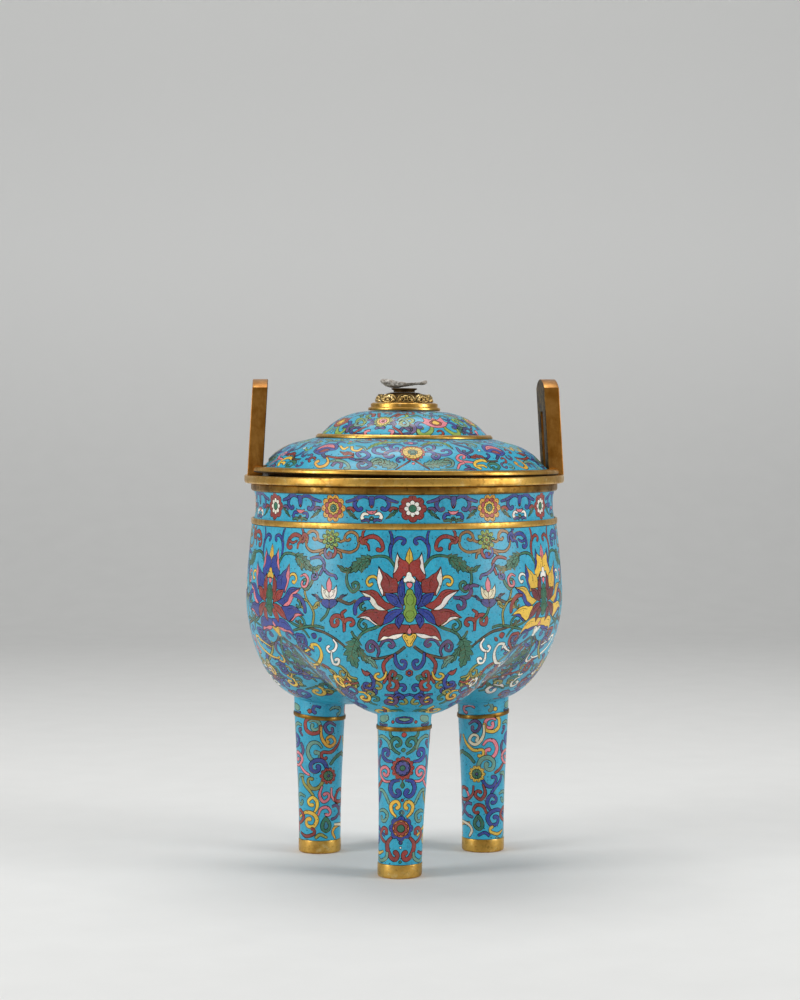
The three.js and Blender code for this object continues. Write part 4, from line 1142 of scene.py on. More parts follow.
# Between two lotuses: a leafy flower right under the belt, and below it a bud in a dark calyx.
HANGING_BUD = (
    flower(0, 10, ("serrate", 10.4, 9, 0.34, 0.5), ("foliage", 6.6, 7, 0.3, 0), ("serrate", 4.6, 6, 0.3, 0),
        ("ochre", 1.8)) + spokes(0, 10, 6.6, 9.4, 9, tilt=0.12)
    + mirrored(cell("bud", *corner(8.5, 54), (5, 58.5), (2, 59), (0, 57), (0, 70), (4.6, 69), (7.6, 66),
        (9, 60)) + cell("calyx", *corner(11, 69), (5, 68), (0, 69), (0, 78), (3.6, 77), (8, 74))
        + strand((1, 67), (4, 64.6), (6.2, 60.4), (4.4, 60.4), (4, 62.4))
        + leaf("navy", 5, (8, 71), (14, 66), (20, 64), lobes=2))
    + cell("blush", *whole(*corner(0, 46), (3, 52), (3.2, 57), (1.8, 61), (0, 62)))
    + band("vine", 2.8, (8, 68), (15, 71), (22, 73), (28, 70), root=1)
    + band("foliage", 2.6, (0, 77), (-3, 84), (-9, 90), root=1))


SHARED = {"blush": "pink", "foliage": "leaf", "stem": "green", "serrate": "lime"}
PALETTES = [
    {**SHARED, "petal": "brick", "lining": "white", "inner": "cobalt", "core": "lime", "tip": "yellow",
     "heart": "white", "bottom": "yellow", "s1": "cobalt", "s2": "yellow", "s3": "brick", "s4": "brick",
     "s5": "purple", "pale": "white"},
    {**SHARED, "petal": "yellow", "lining": "cobalt", "inner": "wine", "core": "green", "tip": "pink",
     "heart": "white", "bottom": "white", "s1": "brick", "s2": "white", "s3": "cobalt", "s4": "cobalt",
     "s5": "violet", "pale": "pink"},
    {**SHARED, "petal": "cobalt", "lining": "pink", "inner": "brick", "core": "green", "tip": "yellow",
     "heart": "yellow", "bottom": "yellow", "s1": "cobalt", "s2": "yellow", "s3": "brick", "s4": "purple",
     "s5": "violet", "pale": "white"},
]
BUDS = [{"bud": "white", "calyx": "cobalt"}, {"bud": "cream", "calyx": "violet"}]


def belly():
    bowl = Bowl()
    wall = Wall(bowl, bowl.outer - BELLY["bare"], BELLY["radius"], ROUND_COLUMNS, seed=3, waver=0.3,
                slack=0.15)
    angles = [*LOTUSES, 360 + list(LOTUSES)[0]]
    for step, (middle, kind) in enumerate(LOTUSES.items()):
        front, palette = step in (0, 2, 4), PALETTES[kind]
        for flip in (1, -1):
            for motif in (scrolls_beneath(40 + step), SCROLLS_ABOVE, SCROLLS_BESIDE,
                          PALE_CURLS if front else SIDE_SCROLLS, LOTUS_HALF):
                wall.lay(motif, middle, palette, flip=flip)
        wall.lay(RIGHT_CURL if front else LEFT_CURL, middle, palette)
        wall.lay(LEFT_CURL, middle, palette, flip=-1)
        wall.lay(LOTUS_MIDDLE, middle, palette)
        wall.lay(flower(0, 141, ("s4", 4.4, 6, 0.2, 0), ("s1", 2.2)), middle, palette)
        wall.lay(HANGING_BUD, (middle + angles[step + 1]) / 2, {**palette, **BUDS[(step + 1) % 2]})
    enamelled_piece("belly", "vessel", wall, ENAMEL, ["belly_bowl"])


belly()


# The belt: a half-round gilt-bronze moulding over the seam between belly and neck. It is one closed hoop,
# soldered on above and below.
BELT = {"inner": 156.8, "radius": 159.4, "bottom": 350.5, "top": 356.8}
turned_piece("belt", "vessel", soften([
    [BELT["inner"], BELT["top"]], [BELT["radius"] - 0.4, BELT["top"] - 0.2], [BELT["radius"], 353.6],
    [BELT["radius"] - 0.4, BELT["bottom"] + 0.2], [BELT["inner"], BELT["bottom"]]], 1.8), GILT, ["belt_ring"],
    "gilt_bronze")


# The neck: a slightly waisted band of enamelled copper between the belt and the rims. Twelve round flowers go
# round it, red and yellow by turns, with a blue stem that parts into two scrolls between each two of them.
NECK = {"top": 384.4, "bottom": 350.5, "wall": 3.4}
NECK_RED = (
    flower(0, 13.6, ("brick", 12.6, 8, 0.17, 0.5), ("white", 7.9, 8, 0.24, 0.5), ("green", 3.8))
    + spokes(0, 13.6, 8.6, 11.2, 8) + spokes(0, 13.6, 4, 6.6, 8, 0.5))
NECK_YELLOW = (
    flower(0, 13.6, ("amber", 12.6, 10, 0.2, 0.5), ("red", 9.4, 8, 0.2, 0), ("yellow", 6.4, 8, 0.2, 0.5),
        ("green", 3.8), ("sage", 1.6)) + spokes(0, 13.6, 9.4, 11.4, 10, tilt=0.1)
    + spokes(0, 13.6, 3.8, 6.4, 8))
# What stands between two flowers of the neck: its right half, and the cup in the middle.
NECK_ARM = (
    band("arm", 4.2, (2.4, 3.4), (8.5, 1.2), (14.6, 3.6), (17.4, 9.5), (14.8, 14.2), curl=(11.6, 12.4),
        turns=0.3) + band("arm", 3.3, (14.6, 3.4), (19, 5.4), (25.5, 7.2), root=1.2)
    + leaf("leaf", 5, (26, 14.6), (20, 19.5), (13.5, 24.4), lobes=3)
    + band("tip", 3.3, (17, 16.6), (20.5, 13.4), (24.6, 13.6), root=1)
    + band("small", 3.3, (2.6, 19.6), (7.4, 18.6), (9.8, 21.8), curl=(7.6, 23), turns=0.3)
    + band("bit", 2.9, (1.4, 26), (5, 24.6), (9, 25.6), root=1.2))
NECK_CUP = (
    cell("arm", *whole(*corner(0, 0.8), (3, 1.2), (3.2, 6), (2.2, 11.5), (0, 13.6)))
    + cell("red", *whole((0, 9.8), (1.3, 11.4), (0, 13.4)))
    + cell("pink", *whole((0, 15.2), (2.6, 15.6), *corner(6.2, 14.2), (4.2, 18.2), (0, 19.8)))
    + flower(0, 23.4, ("green", 2.5), ("small", 1.1)))


def neck():
    knots = bend([[156.2, NECK["top"]], [155.1, 380.5], [154.6, 376], [154.6, 366], [155.2, 361],
                  [156.2, 356.8], [156.2, NECK["bottom"]]], 1.0)
    section = Section(np.vstack([knots, (knots - (NECK["wall"], 0))[::-1]]))
    wall = Wall(section, section.at[len(knots) - 1] - 4, 155.0, ROUND_COLUMNS, seed=5, waver=0.2)
    for step in range(12):
        angle = -0.5 + 30 * step
        colours = {"arm": "cobalt" if step % 3 else "violet", "small": "white" if step % 2 else "cobalt",
                   "tip": "brick" if step % 2 else "purple", "bit": "violet" if step % 2 else "leaf"}
        wall.lay(moved(NECK_YELLOW if step % 2 else NECK_RED, d=-1.6, size=1.12), angle)
        wall.lay(NECK_ARM, angle + 15, colours)
        wall.lay(NECK_ARM, angle + 15, colours, flip=-1)
        wall.lay(NECK_CUP, angle + 15, colours)
    enamelled_piece("neck", "vessel", wall, ENAMEL, ["neck_collar"])


neck()


# The two mouth rims: square gilt mouldings, one above the other. The broad upper one carries the handles, and
# the lower one is painted darker, as painted shade under the upper one, with more grime too.
LOWER_RIM = {"inner": 152.8, "radius": 159.3, "bottom": 384.7, "top": 392.4}
UPPER_RIM = {"inner": 142.0, "radius": 166.2, "bottom": 392.7, "top": 401.0}
# The part of the rim's top under the lid's flange is painted near-black: painted shade for the gap between
# them.
GILT_RIM = gilt_finish("gilt_bronze_rim", "dfb25a", "b07f34", "f3dc9c", painted_gap_shade=(0.0, 0.262))


def rims():
    for name, rim, material in (("lower", LOWER_RIM, GILT_SHADED), ("upper", UPPER_RIM, GILT_RIM)):
        inner, radius, bottom, top = rim.values()
        turned_piece(f"mouth_rim_{name}", "vessel", soften([
            [inner, top], [radius - 0.8, top], [radius, top - 1.3], [radius, bottom + 1.6],
            [radius - 1.2, bottom], [inner, bottom]], 0.9), material, [f"mouth_rim_{name}"], "gilt_bronze")


rims()


# The two loop handles: cast gilt bronze, flat-sided, with a low arch at the top and a slot, leaning in a
# little. Tenons under their feet go into the upper rim. Their faces towards the lid are dark and pitted.
HANDLE = {"width": 66.0, "thickness": 15.8, "inner": 147.3, "slot_width": 22.0, "slot_top": 466.5,
          "corner": 4.0, "shoulder": 491.0, "crown": 500.0, "foot": 401.3, "lean": 5.3 / 90, "worn": 0.9}


def grid_piece(name, body, points, material, stands_for, around, sharp=32, tone=None):
    """Makes a piece from a grid of points whose rows each close up. Where `around` is true the rows also
    close up with each other, else the first and last row are capped with a fan."""
    rows, columns = points.shape[:2]
    flat = points.reshape(-1, 3)
    i, j = np.meshgrid(np.arange(rows if around else rows - 1), np.arange(columns), indexing="ij")
    quads = [((i + di) % rows) * columns + (j + dj) % columns for di, dj in ((0, 0), (0, 1), (1, 1), (1, 0))]
    faces = np.stack(quads, -1).reshape(-1, 4).tolist()
    if not around:
        ends = np.stack([points[0].mean(0), points[-1].mean(0)])
        ring = np.arange(columns)
        after, last = np.roll(ring, -1), (rows - 1) * columns
        faces += np.stack([after, ring, np.full(columns, len(flat))], 1).tolist()
        faces += np.stack([ring + last, after + last, np.full(columns, len(flat) + 1)], 1).tolist()
        flat = np.vstack([flat, ends])
    mesh = bpy.data.meshes.new(name)
    mesh.from_pydata((flat * MM).tolist(), [], faces)
    mesh.shade_smooth()
    mesh.set_sharp_from_angle(angle=math.radians(sharp))
    if tone is not None:
        values = np.zeros(len(flat))
        values[:rows * columns] = tone.ravel()
        mesh.attributes.new("tone", "FLOAT", "POINT").data.foreach_set("value", values.astype(np.float32))
    show_piece(name, body, mesh, material, stands_for)


def arch(y, half, shoulder, crown):
    """The height of a low arch over y: part of a circle through both shoulders and the crown."""
    rise = crown - shoulder
    radius = (half ** 2 + rise ** 2) / (2 * rise)
    return crown - radius + np.sqrt(radius ** 2 - y ** 2)


def handle_outlines():
    """Two matching runs of [across, height] points: round the slot and round the outside."""
    h = HANDLE
    slot, half, c = h["slot_width"] / 2, h["width"] / 2, h["corner"]
    rise, turn = np.linspace(0, 1, 26)[:-1], np.linspace(0, np.pi / 2, 8)
    inner_limb = np.stack([np.full(25, -slot), h["foot"] + rise * (h["slot_top"] - c - h["foot"])], 1)
    outer_limb = np.stack([np.full(25, -half), h["foot"] + rise * (h["shoulder"] - h["foot"])], 1)
    inner_corner = np.stack([-slot + c - c * np.cos(turn), h["slot_top"] - c + c * np.sin(turn)], 1)
    y = np.linspace(-half, -half * 0.72, 8)
    outer_corner = np.stack([y, arch(y, half, h["shoulder"], h["crown"])], 1)
    share = np.linspace(0, 1, 8)[1:]
    inner_top = np.stack([(-slot + c) * (1 - share), np.full(7, h["slot_top"])], 1)
    y = -half * 0.72 * (1 - share)
    outer_top = np.stack([y, arch(y, half, h["shoulder"], h["crown"])], 1)
    inner = np.vstack([inner_limb, inner_corner, inner_top])
    outer = np.vstack([outer_limb, outer_corner, outer_top])
    return [np.vstack([line, (line * (-1, 1))[-2::-1]]) for line in (inner, outer)]


def handle_finish():
    """Old gilding, streaked brown and amber, and bare pitted bronze where the mesh's tone is 1."""
    shader = Shader("gilt_bronze_handles")
    tone = shader.attribute("tone")[2]
    patches = shader.ramp(shader.noise(18, 4, 0.6, shift=2.4), 0.35, 0.7)
    streaks = shader.ramp(shader.noise(7, 4, 0.6, stretch=(1, 1, 0.35), shift=8.1), 0.45, 0.7)
    pits = shader.ramp(shader.noise(2.6, 4, 0.7, shift=4.2), 0.52, 0.62)
    gold = shader.mix(patches, "bd8640", "9c6522")
    gold = shader.mix(streaks * 0.5, gold, "7d4c16")
    dark = shader.mix(shader.ramp(shader.noise(9, 5, 0.65, shift=6.6), 0.42, 0.62), "3a332b", "77623c")
    dark = shader.mix(pits * 0.8, dark, "1b1814")
    inside = shader.ramp(tone + (patches - 0.5) * 0.16, 0.4, 0.6)
    height = shader.noise(6, 3) * 0.5 - pits * (inside * 0.8 + 0.1)
    bump = shader.bump(height, 0.5, 0.0008)
    return shader.finish(Base_Color=shader.mix(inside, gold, dark), Metallic=1 - inside * 0.25,
                         Roughness=0.34 + inside * 0.22 + streaks * 0.1, Normal=bump)


def handles():
    h = HANDLE
    inner, outer = handle_outlines()
    length = np.linalg.norm(outer - inner, axis=1)[:, None]
    half, worn = h["thickness"] / 2, h["worn"]
    turn = np.linspace(0, np.pi / 2, 4)
    # Round the limb: up the slot side, across the far face, down the outside, back across the near face.
    p, q, lip = [], [], []
    for (sp, sq), start in (((0, 1), np.pi), ((1, 1), np.pi / 2), ((1, -1), 0.0), ((0, -1), -np.pi / 2)):
        angle = start - turn
        p.append(np.full(4, float(sp)))
        lip.append(worn * (np.cos(angle) - (1 if sp else -1)))
        q.append(sq * (half - worn) + worn * np.sin(angle))
    p, lip, q = (np.concatenate(part) for part in (p, lip, q))
    share = p[None] + lip[None] / length
    cross = inner[:, None] + (outer - inner)[:, None] * share[..., None]
    x = h["inner"] + half + q[None] - h["lean"] * (cross[..., 1] - h["foot"])
    points = np.stack([x, cross[..., 0], cross[..., 1]], -1)
    tone = np.broadcast_to(np.where(q < 0.5 - half, 1.0, 0.0), x.shape)
    material = handle_finish()
    for name, flip in (("right", 1), ("left", -1)):
        grid_piece(f"handle_{name}", "vessel", points * (flip, flip, 1), material, [f"handle_{name}"],
                   around=False, tone=tone)


handles()


# The lid's flange: a gilt ring that rests on the upper rim, with a lip that hangs inside the mouth and a
# notch at each handle. The whole lid sits a little askew, higher on the left, where a dark gap shows under
# it.
LID_STAND = (np.array([[1, 0, 0], [0, 1, 0], [-0.01, 0, 1.0]]), np.zeros(3))
NOTCH = {"depth": 141.0, "half_turn": math.radians(13.6)}


def notched(angle, radius, z):
    """Cuts back what is next to a handle to a straight line."""
    beside = np.abs(np.abs(angle) - np.pi / 2) < NOTCH["half_turn"]
    straight = NOTCH["depth"] / np.maximum(np.abs(np.sin(angle)), 0.5)
    return np.where(beside, np.minimum(radius, straight), radius), z


# The flange's underside and its lip are painted near-black: painted shade for the gap under the lid and the
# dark mouth.
GILT_FLANGE = gilt_finish("gilt_bronze_flange", "d8aa52", "a9772e", "f0d894", painted_gap_shade=(0.347, 1.0))
turned_piece("lid_flange", "lid", soften([
    [137.4, 408.3], [160.7, 408.3], [162.1, 406.4], [162.1, 403.6], [161.2, 402.6], [140.5, 402.6],
    [140.5, 391.2], [137.4, 391.2]], 0.8), GILT_FLANGE, ["lid_flange"], "gilt_bronze", columns=240,
    shape=notched, stand=LID_STAND)


# The lower dome of the lid: enamelled copper, a shallow ogee from the flange up to a gilt band. Eight flowers
# stand round it, a serrated round one and a cupped one by turns, with scrolls and long leaves between.
DOME_WALL = 2.6
LOWER_DOME = [[92.6, 438.4], [103, 435.8], [112, 433.6], [121.3, 430.4], [128.7, 426.3], [134.9, 422.1],
              [141.2, 416], [146.4, 411.6], [149.8, 408.6]]


DOME_FLOWER = (
    flower(0, 38.6, ("red", 13.4, 16, 0.14, 0.5), ("yellow", 10.8), ("leaf", 5.6, 8, 0.2, 0),
        ("green", 3.2)) + spokes(0, 38.6, 6, 10.4, 16)
    + cell("violet", (0, 10), (7, 13), (5, 20), (0, 22), (-6, 20), (-7, 13))
    + flower(0, 16, ("pink", 3.4, 5, 0.2, 0)) + flower(0, 55.5, ("pink", 2)))
# The lid's lower dome from a round flower to the cupped one on its right.
DOME_RIGHT = (
    band("sage", 3, (32, 61.5), (39, 59.5), (40.5, 53.5), (36, 49.5), curl=(34.5, 53.5))
    + leaf("sage", 15, (10, 57), (21, 56.5), (29.5, 54.5), (39.5, 55), lobes=6)
    + band("wine", 1.6, (1, 51), (7.5, 56.5), (15.5, 64), root=1)
    + band("cobalt", 4, (10, 38.5), (18, 37.5), (24, 42), (32.5, 44), (39, 41), (37.5, 35),
        curl=(32.5, 38.5), turns=0.3)
    + band("violet", 3.6, (24, 40.5), (27, 45), (24, 49), (20, 46.5), curl=(22.5, 45), turns=0.3)
    + band("violet", 3.4, (9.5, 31), (16, 21.5), (21, 23), (22.5, 30), curl=(18, 31))
    + leaf("lime", 8, (9, 25), (22, 11.5), (33, 15.5), (42.5, 33.5), lobes=7)
    + band("navy", 4, (41, 12), (50, 22.5), (58.5, 28.5), (63.5, 35), (58, 40), curl=(56, 35), turns=0.3)
    + leaf("sage", 6, (50.5, 3.5), (62.5, 7), (79, 13), lobes=5)
    + leaf("lime", 5, (72.5, 25.5), (67, 17), (55, 11), lobes=4)
    + flower(72.2, 34.4, ("white", 2.4, 5, 0.2, 0))
    + band("pink", 3.4, (65.5, 55), (57.5, 53.5), (50, 53), (45.5, 49), (48, 44), curl=(51, 47))
    + band("pink", 3.2, (53, 54.5), (47.5, 57), (45, 63), root=1)
    + band("violet", 3.2, (46, 27.5), (49.5, 38), (55.5, 43), curl=(56, 47.5), turns=0.3)
    + band("yellow", 4, (79.5, 53), (72.5, 51), (65, 53.5), (64, 58.5), (69.5, 63), root=0.9)
    + band("yellow", 3.4, (65.5, 58.5), (73, 58.5), (76.5, 61))
    + band("leaf", 3.6, (82.5, 63), (80, 57.5), (86.5, 55.5), (93.5, 59.5), curl=(88, 61))
    + band("vine", 2.6, (76.5, 48), (81.5, 52.5), (92.5, 52.5), root=1)
    + leaf("brick", 8, (59.5, 48), (68, 45), (77.5, 47.5), lobes=3)
    + band("sage", 3.4, (26, 65), (32.5, 65.5), (42, 65.5))
    + band("purple", 3.4, (51, 65), (58, 63), (64, 65.5)) + band("violet", 3, (58.5, 60.5), (54, 58.5))
    + band("cobalt", 3.2, (80.5, 39.5), (83, 45), (80, 48)))
# The same on its left, where the scrolls lie another way.
DOME_LEFT = (
    leaf("sage", 15, (15, 59), (24, 58.5), (33.5, 55), (41.5, 58), lobes=6)
    + band("sage", 3, (36, 63), (42, 59.5), (40.5, 53), (35, 50), curl=(33.5, 55))
    + band("wine", 1.6, (2.5, 51), (8.5, 57), (17, 65), root=1)
    + band("violet", 4, (10, 37.5), (17.5, 36), (24.5, 38.5), (28, 44.5), (25, 47.5), curl=(22, 44),
        turns=0.3)
    + band("cobalt", 4, (24, 41.5), (32.5, 42.5), (38, 38.5), (36.5, 31.5), (30.5, 29.5), curl=(31, 36.5),
        turns=0.2) + band("cobalt", 3.6, (7.5, 27), (13.5, 20), (19, 23), (21.5, 31), curl=(17, 31))
    + leaf("lime", 9, (9.5, 15), (23, 13), (34.5, 20.5), (45, 35), lobes=7)
    + band("cobalt", 4.2, (65, 49.5), (56, 52), (48, 50), (43.5, 45), (46.5, 39.5), curl=(51.5, 44))
    + band("navy", 4.2, (58.5, 52.5), (49, 53), (42.5, 57.5), (46.5, 63), (53, 64), curl=(51.5, 59))
    + band("navy", 3.4, (39.5, 12.5), (49, 16), (58, 8.5)) + flower(63.2, 11.2, ("pink", 2.6, 5, 0.2, 0))
    + band("brick", 2.6, (59, 47), (69.5, 49), (80.5, 49.5), (90.5, 47.5), root=1)
    + leaf("brick", 8, (59, 45.5), (63.5, 42), (69.5, 43), (75.5, 39), lobes=3)
    + band("yellow", 3.6, (61.5, 27.5), (60.5, 35.5), (54.5, 37), (50.5, 32.5), root=1)
    + band("yellow", 3.6, (75.5, 27), (71.5, 35), (66, 30.5), root=1)
    + band("sage", 3.2, (45.5, 36), (48.5, 29), (55.5, 26.5))
    + band("amber", 4, (91, 49), (88.5, 54.5), (91.5, 60.5), (99, 63), (103.5, 59), curl=(99.5, 56.5),
        turns=0.3) + band("purple", 3.6, (84.5, 61.5), (79, 55), (73.5, 57), (74.5, 63), root=0.9)
    + band("sage", 3.6, (86.5, 55), (77, 53), (68.5, 56), (65.5, 62), curl=(69.5, 62.5), turns=0.3)
    + band("leaf", 3.2, (79, 13), (89, 11), (95, 19))
    + band("cobalt", 3.4, (68.5, 18.5), (75, 12.5), (79.5, 21.5)))
# A cupped flower, tilted, on a short stalk.
DOME_CUP = (
    band("navy", 3.4, (12, 36), (9, 40), (9.5, 44.5), (15.5, 49.5), root=1)
    + cell("cobalt", (-5.5, 41), (-7.5, 35), (-5, 28.5), (-2, 20.5), (9, 21), (18, 29.5), (20, 37),
        (13.5, 39.5), (10.5, 43.5), (4.5, 45.5))
    + cell("pink", *corner(-4, 40), (-4.6, 33), (-1.4, 25.6), (5, 23.8), (12, 27.4), *corner(17.4, 35),
        (10.6, 32.6), (5, 31.4), (0, 34))
    + cell("brick", *corner(13, 36.6), (8, 34.6), (3.6, 36), (1.4, 41), (5, 42), (9.4, 40))
    + strand((-1, 35), (0, 28.6), (4, 26.4)) + strand((4, 31), (5.4, 28), (10, 29))
    + strand((4, 40), (7, 37.6)))


def dome_section(outer, wall, inner):
    """A dome's section from its outer line, given from the top outwards, thinned by `wall` and open inside
    `inner`."""
    line = bend(outer, 1.5)
    slope = np.gradient(line, axis=0)
    slope /= np.linalg.norm(slope, axis=1, keepdims=True)
    under = line + np.stack([slope[:, 1], -slope[:, 0]], 1) * wall
    under = under[(under[:, 0] > inner) & (under[:, 1] > line[-1, 1] + 0.2)]
    return Section(np.vstack([line, under[::-3]]))


def lower_dome():
    section = dome_section(LOWER_DOME, DOME_WALL, LOWER_DOME[0][0] - 6)
    depth = section.at[np.argmax(section.points[:, 0])]
    wall = Wall(section, depth, 130.0, ROUND_COLUMNS, seed=7, waver=0.25)
    for quarter in (0, 90, 180, 270):
        wall.lay(DOME_RIGHT, quarter)
        wall.lay(DOME_LEFT, quarter, flip=-1)
        wall.lay(DOME_FLOWER, quarter)
        wall.lay(DOME_CUP, quarter + 45, flip=1 if quarter % 180 else -1)
    wall.fill(["cobalt", "sage", "violet", "brick", "lime", "purple"], 4.4)
    enamelled_piece("lid_lower_dome", "lid", wall, ENAMEL, ["lid_lower_dome"], shape=notched, stand=LID_STAND)


lower_dome()


# The band between the two domes of the lid: a low gilt-bronze ring with a bevelled upper edge. It hides the
# seam that both are soldered along.
turned_piece("lid_band", "lid", soften([
    [86.4, 442.6], [89.8, 442.6], [92, 440.4], [92, 438.7], [86.4, 438.7]], 0.8), GILT, ["lid_band"],
    "gilt_bronze", stand=LID_STAND)


# The crown dome: enamelled copper with eight flowers, serrated and lotus-shaped by turns, among curls. The
# finial is bolted through a hole in its top.
SERRATED_AT, LOTUS_AT = 21.5, 22.5
CROWN_DOME = [[30, 466.9], [44.5, 465.8], [54, 463.7], [65.4, 459.5], [71.7, 455.5], [77.4, 451.4],
              [81.6, 447.2], [85.6, 443], [86, 439.2]]


CROWN_SERRATED = (
    flower(0, 42.5, ("lime", 10.4, 12, 0.2, 0.5), ("yellow", 7.4), ("pink", 4.6, 8, 0.16, 0), ("red", 2))
    + spokes(0, 42.5, 4.8, 8.8, 12))
CROWN_LOTUS = (
    cell("pink", *whole(*corner(0, 33), (4, 38), *corner(11, 32), (11.5, 41), *corner(15, 44), (9, 51),
        (0, 53.5))) + cell("brick", *whole((0, 38), (4, 41), (7, 44), (4.4, 49), (0, 50)))
    + cell("yellow", *whole((0, 40), (3.6, 42.6), (4.2, 46), (0, 48.4))))
# The crown beside a serrated flower.
CROWN_ONE = (
    leaf("violet", 9, (4.5, 48), (11.5, 46), (15, 53), lobes=3)
    + band("violet", 4.4, (2.5, 51), (-4, 54), root=0.8)
    + band("navy", 4.2, (14, 60.5), (22.5, 63), (31.5, 60.5), (33.5, 55), (27, 53), curl=(24.5, 58),
        turns=0.3) + band("pink", 3.6, (9.5, 57), (14.5, 58.5), (13.5, 64), root=0.9)
    + leaf("leaf", 7, (30.5, 51), (38.5, 54.5), (40.5, 63), lobes=3)
    + band("lime", 3.6, (22.5, 51), (19.5, 44.5), (26, 38.5), curl=(28, 43))
    + band("lime", 3.4, (18, 25), (22, 32), (15.5, 39))
    + band("cobalt", 3.4, (10, 38), (14.5, 41), (19.5, 39)) + band("brick", 3.2, (11, 21), (7, 34), root=1))
# The crown beside a lotus: two broad yellow-green curls from under it.
CROWN_TWO = (
    band("lime", 4.8, (6.5, 48), (8.5, 56), (15.5, 62), (22, 61.5), (22.5, 56), curl=(18, 55), turns=0.3)
    + band("cobalt", 3.8, (12.5, 45), (17.5, 44), (22.5, 49.5), curl=(19.5, 51))
    + band("purple", 4, (32, 61.5), (26.5, 57), (25, 51), (28.5, 49), curl=(31, 53.5))
    + band("brick", 3.4, (40.5, 63), (43, 57), (46.5, 53.5))
    + band("sage", 3.6, (38.5, 43), (32.5, 37.5), (30, 42), curl=(35.5, 46.5))
    + band("leaf", 3.2, (11, 33), (14, 28.5), (22, 33)) + band("violet", 3.4, (3.5, 23.5), (8, 19))
    + band("brick", 3.2, (21.5, 24), (28.5, 26), (37, 34)))


def crown_dome():
    section = dome_section(CROWN_DOME, DOME_WALL, CROWN_DOME[0][0])
    depth = section.at[np.argmin(section.points[:, 1])]
    wall = Wall(section, depth, 75.0, 120, seed=9, waver=0.25)
    for quarter in (0, 90, 180, 270):
        for flip in (1, -1):
            wall.lay(CROWN_TWO, quarter + LOTUS_AT, flip=flip)
            wall.lay(CROWN_ONE, quarter - SERRATED_AT, flip=flip)
        wall.lay(CROWN_SERRATED, quarter - SERRATED_AT)
        colours = {"pink": "brick", "brick": "amber"} if quarter % 180 else {}
        wall.lay(CROWN_LOTUS, quarter + LOTUS_AT, colours)
    wall.fill(["violet", "sage", "brick", "cobalt"], 4.6)
    enamelled_piece("lid_crown_dome", "lid", wall, ENAMEL, ["lid_crown_dome"], stand=LID_STAND)


crown_dome()


# The finial's foot: a turned gilt disc in two steps, then a ring of nine upright cloud-headed lappets, cast
# in one with its low ledge, round a domed seat of dark bronze with a short stem on it.
DARK_BRONZE = gilt_finish("dark_bronze", "6a5230", "3a2c1a", "a07c40", 0.5, 1.8)
# Pale gilding, with painted shade in the lappets' hollows.
LAPPET_GILT = gilt_finish("gilt_bronze_lappets", "d6b877", "a8854a", "ecd8a6", hollow=True)
LAPPETS = {"count": 9, "radius": 28.4, "bottom": 475.7, "height": 8.7, "low": 3.0}


def lappet_surface(angle, radius, z):
    """Heights follow a lobed outline with three lobes to a lappet, and the ring narrows upwards. Outwards,
    arcs about a boss and two volutes stand up, with hollows between them. The third value is how much
    painted shade darkens each point, most in the hollows."""
    across = (angle * LAPPETS["count"] / (2 * np.pi) + 0.5) % 1 * 2 - 1
    lobes = 0.2 * np.abs(np.cos(across * 1.5 * np.pi)) ** 0.5
    reach = (LAPPETS["height"] - LAPPETS["low"]) * (1 - np.abs(across) ** 2.6) ** 0.6 * (0.8 + lobes)
    reach += LAPPETS["low"]
    up = (z - LAPPETS["bottom"]) / LAPPETS["height"]
    centre = np.hypot(across * 1.05, (up - 0.3) * 1.5 * np.where(up > 0.3, 1.0, 1.6))
    volute = np.hypot((np.abs(across) - 0.4) * 1.3, (up - 0.42) * 1.2)
    ridge = 0.55 * np.cos(centre * 3.1 * np.pi) + 0.5 * np.cos(volute * 6 * np.pi) * (volute < 0.42)
    face = np.clip((radius - LAPPETS["radius"] + 0.6) / 0.6, 0, 1)
    face = face * np.sin(np.pi * np.clip(up, 0.02, 0.98)) ** 0.25
    out = radius + 0.7 - 2.2 * up + face * (ridge + 1.0 - 1.4 * np.abs(across) ** 6)
    return out, LAPPETS["bottom"] + up * reach, np.clip(0.15 - ridge * 1.3, 0, 1) * (face > 0)


def finial_foot():
    turned_piece("finial_base", "lid", soften([
        [3.8, 475.4], [32.3, 475.4], [34.9, 474.2], [34.9, 470.7], [37.3, 470.2], [37.7, 468.4],
        [37.1, 467.2], [3.8, 467.2]], 0.5), GILT, ["finial_base"], "gilt_bronze", columns=120,
        stand=LID_STAND)
    radius, low, tall = LAPPETS["radius"], LAPPETS["bottom"], LAPPETS["height"]
    angles, up = np.linspace(-np.pi, np.pi, 541)[:-1], np.linspace(1, 0, 30)
    face = np.stack([np.full(30, radius), low + tall * up], 1)
    back = np.stack([np.full(6, radius - 2.4), low + tall * np.linspace(0, 1, 6)], 1)
    loop = np.vstack([face, back])
    around, across = np.meshgrid(angles, np.arange(len(loop)), indexing="ij")
    r, z, hollow = lappet_surface(around, loop[across, 0], loop[across, 1])
    r = np.where(across == len(face) - 1, radius + 0.8, r)
    points = upright(around, r, z) @ LID_STAND[0].T
    grid_piece("finial_lappets", "lid", points, LAPPET_GILT, ["finial_lappets"], around=True,
               sharp=50, tone=hollow)
    turned_piece("finial_seat", "lid", soften([
        [3.8, 486.1], [14.5, 486.1], [19.7, 484.4], [22.9, 482.1], [24.6, 479.3], [24.6, 475.7],
        [3.8, 475.7]], 1.5), DARK_BRONZE, ["finial_seat"], "dark_bronze", columns=96, stand=LID_STAND)
    turned_piece("finial_stem", "lid", soften([
        [0.01, 490.6], [13.1, 490.6], [13.6, 489.6], [10.6, 487.8], [11.7, 486.4], [0.01, 486.4]], 0.6),
        DARK_BRONZE, ["finial_stem"], "dark_bronze", columns=60, stand=LID_STAND)


finial_foot()


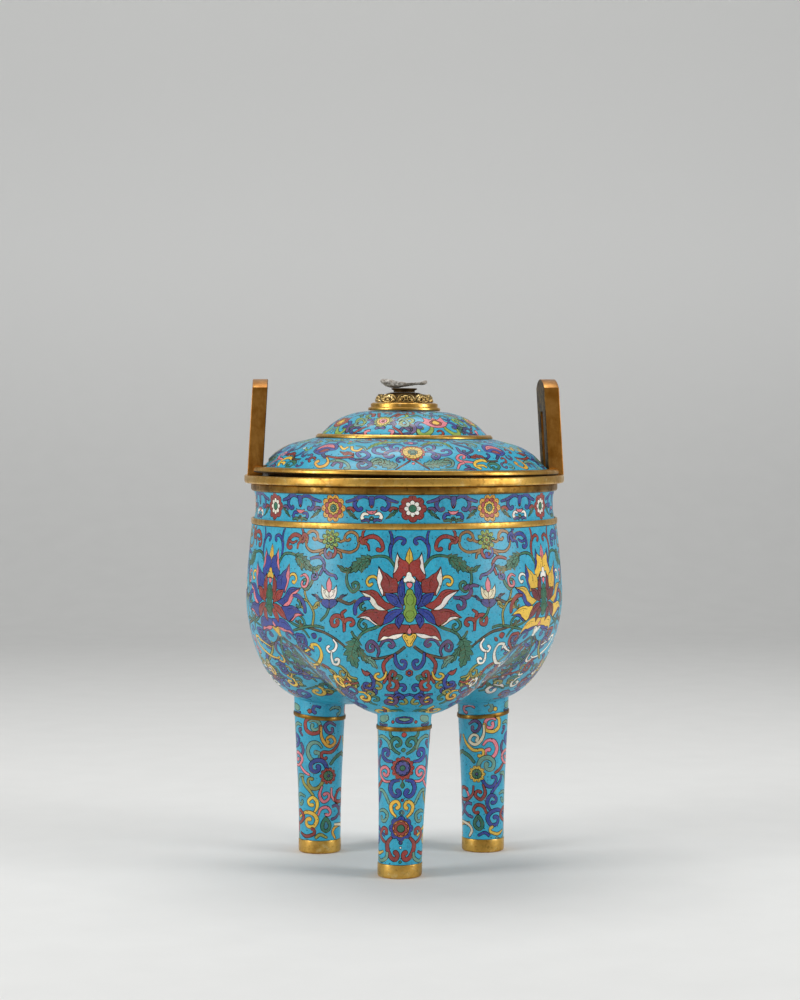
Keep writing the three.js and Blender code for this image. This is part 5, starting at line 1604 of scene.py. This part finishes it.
# What is left of the stone finial: a broken, weathered plate of whitish stone, thick at the left, thin in the
# middle and turned up at the right, cemented on the stem.
STONE_OUTLINE = [[-24.7, 498.5], [-22.3, 499.7], [-14.5, 499.5], [-9.1, 497.9], [-3.1, 497.1], [3.5, 495.9],
                 [10.7, 496.4], [17.3, 497.3], [22.7, 498.8], [23.6, 496.4], [20.3, 494.8], [13.7, 494.4],
                 [7.7, 493.6], [1.7, 492.4], [-4.3, 491.6], [-10.4, 491], [-17, 491.9], [-21.1, 494],
                 [-24.2, 496.4]]


def stone():
    """The outline carried from front to back, shorter and thinner at both ends, then roughened by a sum of
    waves of many directions."""
    line = bend(STONE_OUTLINE, 0.8, closed=True)
    depth = np.sin(np.linspace(-np.pi / 2, np.pi / 2, 36)) * 0.995
    taper = np.sqrt(1 - depth ** 2)[:, None] ** 0.55
    x = line[None, :, 0] * (0.55 + 0.45 * taper)
    middle = 495.4 + 0.0022 * (x + 4) ** 2
    z = middle + (line[None, :, 1] - middle) * taper
    y = np.broadcast_to(depth[:, None] * 15.5, x.shape)
    points = np.stack([x, y, z], -1)
    random = np.random.default_rng(21)
    ways = random.normal(size=(40, 3))
    ways *= (random.uniform(0.5, 3.2, 40) / np.linalg.norm(ways, axis=1))[:, None]
    waves = np.sin(points @ ways.T + random.uniform(0, 6.28, 40)) / (0.7 + np.linalg.norm(ways, axis=1))
    out = np.stack([x * 0.1, y * 0.1, z - middle], -1)
    out /= np.maximum(np.linalg.norm(out, axis=-1, keepdims=True), 0.3)
    points += out * (waves.sum(-1) * 0.11)[..., None]
    shader = Shader("broken_stone")
    grain = shader.noise(2.4, 5, 0.7)
    stain = shader.ramp(shader.noise(8, 4, 0.6, shift=3.3), 0.45, 0.65)
    tone = shader.mix(shader.ramp(grain, 0.35, 0.68), "6f675d", "ddd8d0")
    tone = shader.mix(stain * 0.6, tone, "7b6a58")
    height = grain + shader.noise(0.9, 3, 0.6, shift=2.2) * 0.5
    bump = shader.bump(height, 0.8, 0.001)
    material = shader.finish(Base_Color=tone, Roughness=0.55 + grain * 0.2, Normal=bump)
    points = points @ LID_STAND[0].T
    grid_piece("finial_stone", "lid", points, material, ["finial_stone"], around=False, sharp=70)


stone()


# The bolt, washer and nut that hold the finial: plain, dark, and out of sight under the crown. The solids
# of the CAD model are kept, with the dark bronze finish.
for node in ("finial_stud", "finial_washer", "finial_nut"):
    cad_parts[node].material_slots[0].material = DARK_BRONZE
